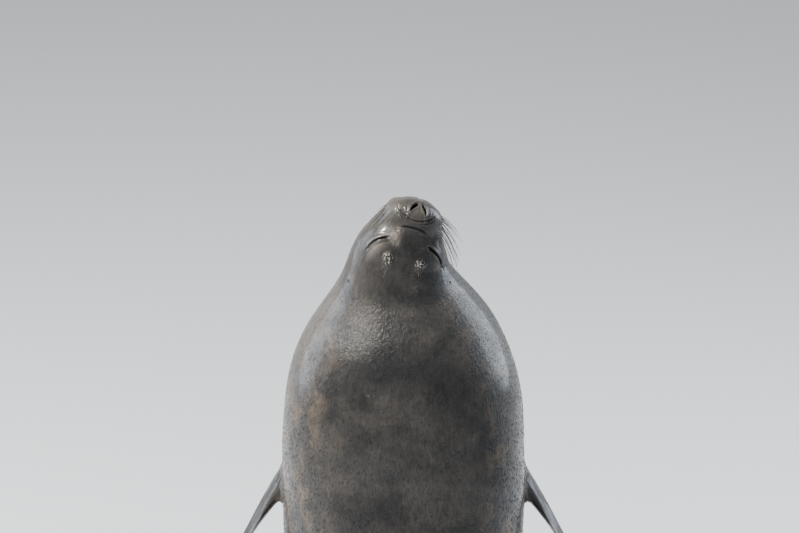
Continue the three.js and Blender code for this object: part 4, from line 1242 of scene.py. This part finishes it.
def tuft_blade():
    """One tuft, a closed spike along X: a root sunk in the skin, a flat arched middle and a fine tip."""
    points = []
    for x, wide, high, z in ((-0.12, 0.42, 0.22, -0.35), (0.42, 0.5, 0.2, 0.35)):
        points += [(x, -wide, z - high), (x, wide, z - high), (x, 0, z + high)]
    points = np.array([*points, (1, 0, 0.5)], float)
    sides = [(0, 1, 4, 3), (1, 2, 5, 4), (2, 0, 3, 5)]
    caps = [(0, 2, 1), (3, 4, 6), (4, 5, 6), (5, 3, 6)]
    mesh = mesh_from("tuft_blade", points, [np.array(sides), np.array(caps)])
    along, across = clamp01(points[:, 0]), points[:, 1] + 0.5
    set_values(mesh, "blade", np.stack([along, across, np.zeros(len(points))], -1))
    return put("tuft_blade", mesh)


def screw_tree():
    """Screw heads on the corners of the source mesh."""
    n, given, out, ids = geometry_tree("Screws", {"Head": "Object", "Material": "Material"})
    spots = n.node("GeometryNodeMeshToPoints", {"Mesh": given["Geometry"]}).outputs[0]
    turn = n.node("FunctionNodeRandomValue", data_type="FLOAT_VECTOR")
    low, high = [s for s in turn.inputs if s.enabled][:2]
    low.default_value, high.default_value = (0, 0, 0), (0, 0, math.pi)
    rotation = n.node("FunctionNodeEulerToRotation", {0: turn.outputs[0]}).outputs[0]
    scattered(n, given, spots, "Head", out, Rotation=rotation)
    return n, ids


# Settings.


def number(name, value, text, **more):
    return FloatProperty(name=name, description=text, default=value, **more)


def length(name, value, text):
    return number(name, value, text, unit="LENGTH", precision=4)


def colour(name, value, text):
    more = {"subtype": "COLOR", "size": 3, "min": 0, "max": 1}
    return FloatVectorProperty(name=name, description=text, default=value, **more)


class SealSkinSettings(bpy.types.PropertyGroup):
    """The skin's mesh and the coat's colours."""

    depth: length("Coat depth", 0.0012, "How far the skin lies inside the CAD solids")
    fine: length("Face rings", 0.0016, "Distance between the rings of the face")
    coarse: length("Body rings", 0.0175, "Distance between the rings of the body")
    sectors: IntProperty(name="Sectors", description="Points round each ring", default=270, min=60)
    join: length("Join radius", 0.045, "How far the flippers' roots are rounded into the body")
    dark: colour("Dark", (0.0095, 0.0093, 0.0095), "The middle of the back")
    mid: colour("Middle", (0.024, 0.022, 0.0205), "The lighter parts of the back")
    pale: colour("Pale", (0.105, 0.098, 0.089), "The sides and the belly")
    brown: colour("Brown", (0.068, 0.052, 0.038), "The mottles")
    flipper: colour("Flippers", (0.018, 0.016, 0.0155), "The nearly bare skin of the flippers")
    # This colour also paints the highlights by the left eye, along the lid, on the cheek and on the nose top.
    pad: colour("Muzzle pads", (0.105, 0.092, 0.080), "The whiskers' pads")
    roughness: number("Roughness", 0.34, "Of the coat under the water", min=0, max=1)
    film: number("Water film", 0.7, "The most that the film of water shines", min=0)


class SealCoatSettings(bpy.types.PropertyGroup):
    """The tufts that break the coat's form."""

    length: length("Length", 0.0085, "Length of a tuft on the body; it is shorter towards the nose")
    width: length("Width", 0.00095, "Width of a tuft on the body")
    density: number("Density", 118000, "Tufts per square metre on the face")
    lift: number("Lift", 0.025, "How far a tuft stands up", subtype="ANGLE")
    seed: IntProperty(name="Seed", description="Seed of the tufts' places", default=7)


class SealWhiskerSettings(bpy.types.PropertyGroup):
    """Whiskers, brow hairs and nails."""

    longest: length("Longest", 0.098, "The longest whisker")
    shortest: length("Shortest", 0.028, "The shortest whisker")
    brow: length("Brow hairs", 0.026, "Length of the hairs over the eyes")
    root: length("Root radius", 0.0010, "Radius of a whisker at its root")
    tip: length("Tip radius", 0.00032, "Radius of a whisker at its tip")
    horn: colour("Horn", (0.030, 0.024, 0.02), "Whiskers and nails")
    horn_tip: colour("Horn tip", (0.20, 0.165, 0.13), "The paler ends of whiskers and nails")
    seed: IntProperty(name="Seed", description="Seed of the whiskers' differences", default=11)


class SealStandSettings(bpy.types.PropertyGroup):
    """The display stand."""

    wood: colour("Wood", (0.13, 0.072, 0.04), "The base's lighter grain")
    wood_dark: colour("Dark wood", (0.07, 0.036, 0.02), "The base's darker grain")
    steel: colour("Steel", (0.52, 0.53, 0.54), "Rods and flanges")
    screws: IntProperty(name="Screws", description="Screws in each flange", default=6, min=3)


class SealStageSettings(bpy.types.PropertyGroup):
    """Camera, floor and lights."""

    lens: number("Lens", 171.9, "Focal length on a 36 mm sensor", unit="CAMERA")
    target: FloatVectorProperty(
        name="Target", description="The middle of the picture", default=(-0.0099, 0.2848, 1.8839),
        subtype="XYZ",
    )
    tilt: number("Tilt", math.radians(17), "How far the camera looks down", subtype="ANGLE")
    distance: length("Distance", 9.0, "From the camera to the target")
    floor: colour("Floor", (0.74, 0.75, 0.76), "The pale floor")
    key: number("Key light", 2200, "Power of the soft key light", unit="POWER")
    fill: number("Sky", 0.62, "Strength of the even light all round", min=0)


GROUPS = {
    "seal_skin": SealSkinSettings,
    "seal_coat": SealCoatSettings,
    "seal_whiskers": SealWhiskerSettings,
    "seal_stand": SealStandSettings,
    "seal_stage": SealStageSettings,
}


# Operators.


class SEAL_OT_skin(bpy.types.Operator):
    """Build the whole skin, from the nose to the flippers, as one piece"""

    bl_idname = "seal.skin"
    bl_label = "Skin"

    def execute(self, context):
        settings = context.scene.seal_skin
        for make in (lie_group, scratch_group, markings_group):
            make()
        sizes = (settings.depth, settings.fine, settings.coarse, settings.sectors)
        skin = put("seal_skin", trunk_mesh(*sizes))
        limbs = put("seal_limbs", limbs_mesh(settings.depth, LIMB_ROWS, LIMB_COLUMNS))
        union = skin.modifiers.new("limbs", "BOOLEAN")
        union.object, union.operation, union.solver = limbs, "UNION", "MANIFOLD"
        ready = skin.evaluated_get(context.evaluated_depsgraph_get())
        mesh = bpy.data.meshes.new_from_object(ready)
        skin.modifiers.clear()
        drop(limbs)
        old, skin.data = skin.data, mesh
        bpy.data.meshes.remove(old)
        mesh.name = "seal_skin"
        if len(mesh.polygons) < LEAST_SKIN_FACES:
            raise RuntimeError("the flippers did not join the skin")
        soften_joins(mesh, settings.join, JOIN_ROUNDS)
        unwrap(mesh)
        mesh.shade_smooth()
        mesh.materials.clear()
        mesh.materials.append(hide_material(settings, False))
        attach(skin, "root")
        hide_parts(*FLESH_NODES)
        return {"FINISHED"}


# Along the body: how thick the tufts stand, against the face, and how long they are, against the longest.
TUFT_S = (0, 110, 225, 400, 620, 1900)
TUFT_COVER = (1.0, 0.92, 0.46, 0.23, 0.15, 0.125)
TUFT_SIZE = (0.2, 0.42, 0.55, 0.75, 0.95, 1.0)

# The coat's pieces: from where to where along the body, and whether the limbs are with them.
COAT_PIECES = {
    "coat_head": (-20, 225, False), "coat_neck": (225, 620, False),
    "coat_body": (620, 1160, False), "coat_rear": (1160, 2000, True),
}


def tuft_fields(mesh, start, end, with_limbs):
    """Where the tufts of one piece grow and how large they are, as values of the skin."""
    names = ("coat", "hollow_shade", "nostril", "limb", "piece", "brow", "eye")
    coat, hollow_shade, nostril, limb, piece, brow, eye = (get_values(mesh, name) for name in names)
    s, off = coat[:, 0] / MM, np.abs(eye[:, 1])
    trunk = ((s >= start) & (s < end) & (piece < 0.5)) * np.exp(np.interp(s, TUFT_S, np.log(TUFT_COVER)))
    thick = np.maximum(trunk, TUFT_COVER[-1] * with_limbs * (piece > 0.5))
    open_skin = smooth((nostril - 1.5) / 0.6) * smooth(1.2 - 3 * hollow_shade) * smooth((off - 2.5) / 3)
    thick *= open_skin * (1 - 0.9 * brow)
    below_brow = bell((s - 152) / 24) * bell((np.abs(coat[:, 1]) / MM - 42) / 15) * (coat[:, 2] > 0)
    size = np.interp(s, TUFT_S, TUFT_SIZE) * (1 + 0.9 * below_brow)
    return thick, np.where(limb > 0.5, 0.5, size)


class SEAL_OT_coat(bpy.types.Operator):
    """Grow the small wet tufts over the skin"""

    bl_idname = "seal.coat"
    bl_label = "Coat tufts"

    def execute(self, context):
        settings = context.scene.seal_coat
        skin = bpy.data.objects["seal_skin"]
        material = hide_material(context.scene.seal_skin, True)
        blade = tuft_blade()
        n, ids = tuft_tree()
        values = {
            "Density": settings.density, "Length": settings.length, "Width": settings.width,
            "Lift": settings.lift, "Tuft": blade, "Material": material,
        }
        for count, (name, region) in enumerate(COAT_PIECES.items()):
            source = put("tuft_source", skin.data.copy())
            thick, size = tuft_fields(source.data, *region)
            set_values(source.data, "thick", thick)
            set_values(source.data, "tuft_size", size)
            mesh = grown(source, n, ids, {**values, "Seed": settings.seed + count}, name)
            drop(source)
            if len(mesh.polygons) < LEAST_COAT_FACES:
                raise RuntimeError(f"{name} has too few tufts")
            finish_tufts(mesh)
            piece = put(name, mesh)
            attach(piece, "root")
        drop(blade)
        return {"FINISHED"}


def finish_tufts(mesh):
    """Gives each tuft its small patch on the unwrap, at its root's place, and drops what isn't read."""
    coat, piece, back = (get_values(mesh, name) for name in ("coat", "piece", "back"))
    flat = unwrap_places(coat.astype(float), piece, back)
    flat += (get_values(mesh, "blade")[:, :2] - 0.5) * 0.003
    corners = np.zeros(len(mesh.loops), np.int32)
    mesh.loops.foreach_get("vertex_index", corners)
    uv = clamp01(flat)[corners].astype(np.float32)
    for name in ("OFBake", "thick", "tuft_size", "lie", "nostril", "eye", "hollow_shade", "brow", "piece"):
        if name in mesh.attributes:
            mesh.attributes.remove(mesh.attributes[name])
    mesh.uv_layers.new(name="OFBake").data.foreach_set("uv", uv.ravel())
    mesh.shade_smooth()


HAIR_SIDES = 5
HAIR_SUNK = 0.004


def on_skin(surface, s, angle):
    """The point of the skin nearest to a place on its plain form, with its normal."""
    start = place_face(skin_point(s, angle, 0)[0])[0]
    spot, normal = surface.find_nearest(Vector(start))[:2]
    return np.array(spot), np.array(normal)


def hair(root, normal, way, long, settings, chance, droop, count, thicker=1):
    """One hair as a tube: its root lies in the skin, and it bends over under its own weight."""
    u = np.linspace(0, 1, count)
    down = -axes(60)[0][0]
    side = unit(np.cross(way, normal)) * chance.uniform(-0.1, 0.1)
    path = root - normal * HAIR_SUNK + way * (long + HAIR_SUNK) * u[:, None]
    path = path + (down * droop + side) * (long * u**2)[:, None]
    return tube(path, mix(settings.root, settings.tip, u**0.8) * thicker, HAIR_SIDES)


def whisker(root, sign, surface, settings, chance):
    """A long hair of the muzzle pad, swept back; those of the left side are kept short."""
    row, k, s, angle = root
    grown_to = (k + 0.6 * row) / (WHISKERS["per_row"] + 1.4)
    long = mix(settings.shortest, settings.longest, grown_to) * chance.uniform(0.86, 1.08)
    spot, normal = on_skin(surface, s, angle)
    ahead, right, _ = (v[0] for v in axes(s))
    back = (0.5 if sign > 0 else 1.5) + 0.09 * k + chance.uniform(-0.16, 0.16)
    way = unit(normal * 0.3 + right * sign * 1.1 - ahead * back)
    return hair(spot, normal, way, long * (1.1 if sign > 0 else 0.45), settings, chance, 0.32, 9)


def brow_hair(s, angle, surface, settings, chance):
    """A short hair over the eye."""
    spot, normal = on_skin(surface, s, angle)
    ahead, right, _ = (v[0] for v in axes(s))
    way = unit(normal * 0.45 - ahead + right * chance.uniform(-0.3, 0.3))
    long = settings.brow * chance.uniform(0.55, 1.1)
    return hair(spot, normal, way, long, settings, chance, 0.1, 7, 1.3)


class SEAL_OT_whiskers(bpy.types.Operator):
    """Build the whiskers and the hairs over the eyes"""

    bl_idname = "seal.whiskers"
    bl_label = "Whiskers"

    def execute(self, context):
        settings = context.scene.seal_whiskers
        chance = np.random.default_rng(settings.seed)
        surface = skin_surface()
        material = horn_material(settings.horn, settings.horn_tip)
        for name, sign in SIDES.items():
            long = [whisker(root, sign, surface, settings, chance) for root in whisker_roots(sign)]
            short = [brow_hair(*spot, surface, settings, chance) for spot in brow_spots(sign)]
            points, faces = joined(long + short)
            mesh = mesh_from("whiskers_" + name, points, faces)
            blade = []
            # The brow hairs start paler: partly their own tone, partly painted glints.
            for hairs, dark_to in ((long, 0), (short, 0.5)):
                for p, _, _ in hairs:
                    rings = (len(p) - 2) // HAIR_SIDES
                    blade += [np.repeat(np.linspace(dark_to, 1, rings), HAIR_SIDES), [0, 1]]
            along = np.concatenate(blade)
            round_it = np.arange(len(along)) % HAIR_SIDES / HAIR_SIDES
            set_values(mesh, "blade", np.stack([along, round_it, along * 0], -1))
            piece = put("whiskers_" + name, mesh, material)
            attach(piece, "root")
        return {"FINISHED"}


class SEAL_OT_lids(bpy.types.Operator):
    """Build the wet rims of the closed lids"""

    bl_idname = "seal.lids"
    bl_label = "Lid rims"

    def execute(self, context):
        surface, material = skin_surface(), lid_material()
        end, off_slit, lift, sides = 0.92, 2.5, 6, 8
        u = np.linspace(-end, end, 32)
        radii = (0.04 + 0.96 * (1 - (u / end) ** 2) ** 0.7) * MM
        for name, sign in SIDES.items():
            eye, parts = EYES[sign], []
            across = u * EYE["long"][sign] + EYE["shift"][sign]
            for lid in (-1, 1):
                off = -EYE["bow"] * (1 - u**2) + lid * off_slit * EYE["open"][sign] * np.sqrt(1 - u**2)
                p = eye["centre"] + np.outer(across, eye["e1"]) + np.outer(off, eye["e2"])
                world = place_face(p + eye["normal"] * lift)
                spots = np.array([surface.find_nearest(Vector(w))[0] for w in world])
                parts.append(tube(spots, radii, sides))
            points, faces = joined(parts)
            piece = put("lid_rims_" + name, mesh_from("lid_rims_" + name, points, faces), material)
            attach(piece, "root")
        return {"FINISHED"}


class SEAL_OT_nails(bpy.types.Operator):
    """Build the nails of the fore flippers"""

    bl_idname = "seal.nails"
    bl_label = "Nails"

    def execute(self, context):
        material = bpy.data.materials["horn"]
        rows, sides = NAIL["rows"], NAIL["sides"]
        u, turns = np.linspace(0.0, 1, rows), full_turn(sides)
        size = np.sqrt(mix(0.4, 1, smooth(u * 3))) * (1 - 0.8 * u**3) * NAIL["inside"]
        for name, sign in SIDES.items():
            at = next(frame_at for spec, side, frame_at in LIMBS if spec is FORE and side == sign)
            ring = np.outer(np.cos(turns), at["across"]) * NAIL["width"] / 2
            ring = ring + np.outer(np.sin(turns), at["normal"]) * NAIL["thick"] / 2
            ends = np.array([1 - NAIL["length"] / FORE["length"], 1.0])
            parts = []
            for digit in range(FORE["digits"]):
                v = np.full(2, (2 * digit + 1) / FORE["digits"] - 1)
                before, tip = limb_point(FORE, at, ends, v, 1, rim=False)[0]
                path = before + np.outer(u * (NAIL["length"] + NAIL["overhang"] - 0.8), unit(tip - before))
                path += np.outer(1.2 - 2.5 * u**2, at["normal"])
                points = (path[:, None] + ring * size[:, None, None]).reshape(-1, 3)
                points = np.concatenate([points, path[[0, -1]]]) * MM
                parts.append((points, grid_faces(rows, sides, True), end_faces(rows, sides)))
            points, faces = joined(parts)
            mesh = mesh_from("nails_" + name, points, faces)
            along = np.concatenate([np.repeat(np.linspace(0, 1, rows), sides), [0, 1]])
            along = np.tile(along, FORE["digits"])
            round_it = np.arange(len(along)) % sides / sides
            set_values(mesh, "blade", np.stack([along, round_it, along * 0], -1))
            piece = put("nails_" + name, mesh, material)
            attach(piece, "root")
            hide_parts(*(f"nail_{name}_{k + 1}" for k in range(FORE["digits"])))
        return {"FINISHED"}


def circle(radius, sides):
    turns = full_turn(sides)
    return np.stack([np.cos(turns), np.sin(turns), np.zeros(sides)], -1) * radius


def lathe(name, middle, outline, sides):
    """A closed turned shape: radii and heights about an upright axis."""
    rings = [circle(r, sides) + [middle[0], middle[1], z] for r, z in outline]
    ends = [[middle[0], middle[1], outline[end][1]] for end in (0, -1)]
    points, rows = np.concatenate([*rings, ends]), len(outline)
    return mesh_from(name, points, [grid_faces(rows, sides, True), end_faces(rows, sides)])


# The stand's details in metres: a screw head's outline, the circle that the screws lie on, the bevels of a
# flange, the hole round the rod, and the small bevel at a rod's foot.
SCREW_HEAD = (
    (0.0052, -0.001), (0.0052, 0.0008), (0.0044, 0.0018),
    (0.0026, 0.0022), (0.0021, 0.0021), (0.0019, 0.0006),
)
SCREW_CIRCLE, SCREW_SUNK = 0.039, 0.0006
BEVEL, FOOT_BEVEL, ROD_BEVEL = 0.0016, 0.0008, 0.0006
COLLAR = ((0.0255, 0.0), (0.0245, 0.0002))


class SEAL_OT_stand(bpy.types.Operator):
    """Finish the display stand: oiled base, steel rods and flanges with their screws"""

    bl_idname = "seal.stand"
    bl_label = "Stand"

    def execute(self, context):
        settings = context.scene.seal_stand
        steel = steel_material(settings.steel)
        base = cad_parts["stand_base"]
        wood = wood_material(settings.wood, settings.wood_dark)
        if not base.material_slots:
            base.data.materials.append(wood)
        for slot in base.material_slots:
            slot.material = wood
        head = put("screw_head", lathe("screw_head", (0, 0), SCREW_HEAD, 12))
        n, ids = screw_tree()
        for name in ("front", "rear"):
            low, high = (np.array(c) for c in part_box("stand_flange_" + name))
            middle, radius, top = (low + high) / 2, (high[0] - low[0]) / 2, high[2]
            outline = (
                (radius - FOOT_BEVEL, low[2]), (radius, low[2] + FOOT_BEVEL),
                (radius - BEVEL, top - 2 * BEVEL), (radius - 2.4 * BEVEL, top - 0.4 * BEVEL),
                (radius - 4 * BEVEL, top),
                *((r, top + rise) for r, rise in COLLAR),
            )
            flange = put("flange_" + name, lathe("flange_" + name, middle, outline, 96), steel)
            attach(flange, "root")
            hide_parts("stand_flange_" + name)
            low_rod, high_rod = (np.array(c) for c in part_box("stand_rod_" + name))
            radius, foot, end = (high_rod[0] - low_rod[0]) / 2, low_rod[2], high_rod[2]
            outline = (
                (radius - ROD_BEVEL, foot), (radius, foot + ROD_BEVEL),
                (radius, mix(foot, end, 0.5)), (radius, end),
            )
            rod = put("rod_" + name, lathe("rod_" + name, middle, outline, 64), steel)
            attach(rod, "root")
            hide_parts("stand_rod_" + name)
            spots = circle(SCREW_CIRCLE, settings.screws) + [middle[0], middle[1], top - SCREW_SUNK]
            source = put("screw_spots", bpy.data.meshes.new("screw_spots"))
            source.data.from_pydata(spots.tolist(), [], [])
            mesh = grown(source, n, ids, {"Head": head, "Material": steel}, "screws_" + name)
            drop(source)
            if not len(mesh.polygons):
                raise RuntimeError("a flange has no screws")
            screws = put("screws_" + name, mesh)
            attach(screws, "root")
        drop(head)
        return {"FINISHED"}


FLOOR_RADIUS, FLOOR_SIDES = 60, 96
SKY_COLOUR = (0.80, 0.87, 0.95, 1)

# The lights: name, place, size, share of the key light's power, colour.
LIGHTS = (
    ("key", (-4.9, -2.6, 7.5), 1.2, 1, (1, 0.96, 0.90)),
    ("side", (5.0, 3.0, 3.2), 4.5, 0.15, (0.82, 0.9, 1)),
    ("sky_left", (-5.5, 2.6, 3.0), 4.0, 0.12, (0.82, 0.9, 1)),
)


class SEAL_OT_stage(bpy.types.Operator):
    """Set up the camera, the pale floor and the soft lights"""

    bl_idname = "seal.stage"
    bl_label = "Stage"

    def execute(self, context):
        settings = context.scene.seal_stage
        scene = context.scene
        target = Vector(settings.target)
        camera = bpy.data.objects.new("camera", bpy.data.cameras.new("camera"))
        camera.data.lens, camera.data.clip_end = settings.lens, 200
        away = Vector((0, -math.cos(settings.tilt), math.sin(settings.tilt)))
        camera.location = target + away * settings.distance
        camera.rotation_euler = (math.pi / 2 - settings.tilt, 0, 0)
        scene.collection.objects.link(camera)
        scene.camera = camera

        mesh = bpy.data.meshes.new("floor")
        mesh.from_pydata(circle(FLOOR_RADIUS, FLOOR_SIDES).tolist(), [], [list(range(FLOOR_SIDES))])
        material = floor_material(settings.floor)
        put("floor", mesh, material)

        world = bpy.data.worlds.new("soft_sky")
        scene.world = world
        world.use_nodes = True
        sky = world.node_tree.nodes["Background"]
        sky.inputs["Color"].default_value = SKY_COLOUR
        sky.inputs["Strength"].default_value = settings.fill
        for name, place_at, size, share, tint in LIGHTS:
            light = bpy.data.lights.new(name, "AREA")
            light.shape, light.size, light.color = "DISK", size, tint
            light.energy = settings.key * share
            lamp = bpy.data.objects.new(name, light)
            lamp.location = place_at
            lamp.rotation_euler = (target - Vector(place_at)).to_track_quat("-Z", "Y").to_euler()
            scene.collection.objects.link(lamp)
        return {"FINISHED"}


PIECES = (
    SEAL_OT_stage, SEAL_OT_skin, SEAL_OT_coat, SEAL_OT_whiskers, SEAL_OT_lids, SEAL_OT_nails, SEAL_OT_stand,
)


class SEAL_PT_panel(bpy.types.Panel):
    """Lists the pieces of the seal and their settings"""

    bl_idname = "SEAL_PT_panel"
    bl_label = "Elephant seal"
    bl_space_type = "VIEW_3D"
    bl_region_type = "UI"
    bl_category = "Seal"

    def draw(self, context):
        for piece in PIECES:
            self.layout.operator(piece.bl_idname)
        for name, group in GROUPS.items():
            box = self.layout.box()
            box.label(text=group.__doc__)
            for key in group.__annotations__:
                box.prop(getattr(context.scene, name), key)


def register():
    for cls in (*GROUPS.values(), *PIECES, SEAL_PT_panel):
        bpy.utils.register_class(cls)
    for name, group in GROUPS.items():
        setattr(bpy.types.Scene, name, PointerProperty(type=group))


def unregister():
    for name in GROUPS:
        delattr(bpy.types.Scene, name)
    for cls in reversed((*GROUPS.values(), *PIECES, SEAL_PT_panel)):
        bpy.utils.unregister_class(cls)


def main():
    register()
    for piece in PIECES:
        group, name = piece.bl_idname.split(".")
        getattr(getattr(bpy.ops, group), name)()


if __name__ == "__main__":
    main()
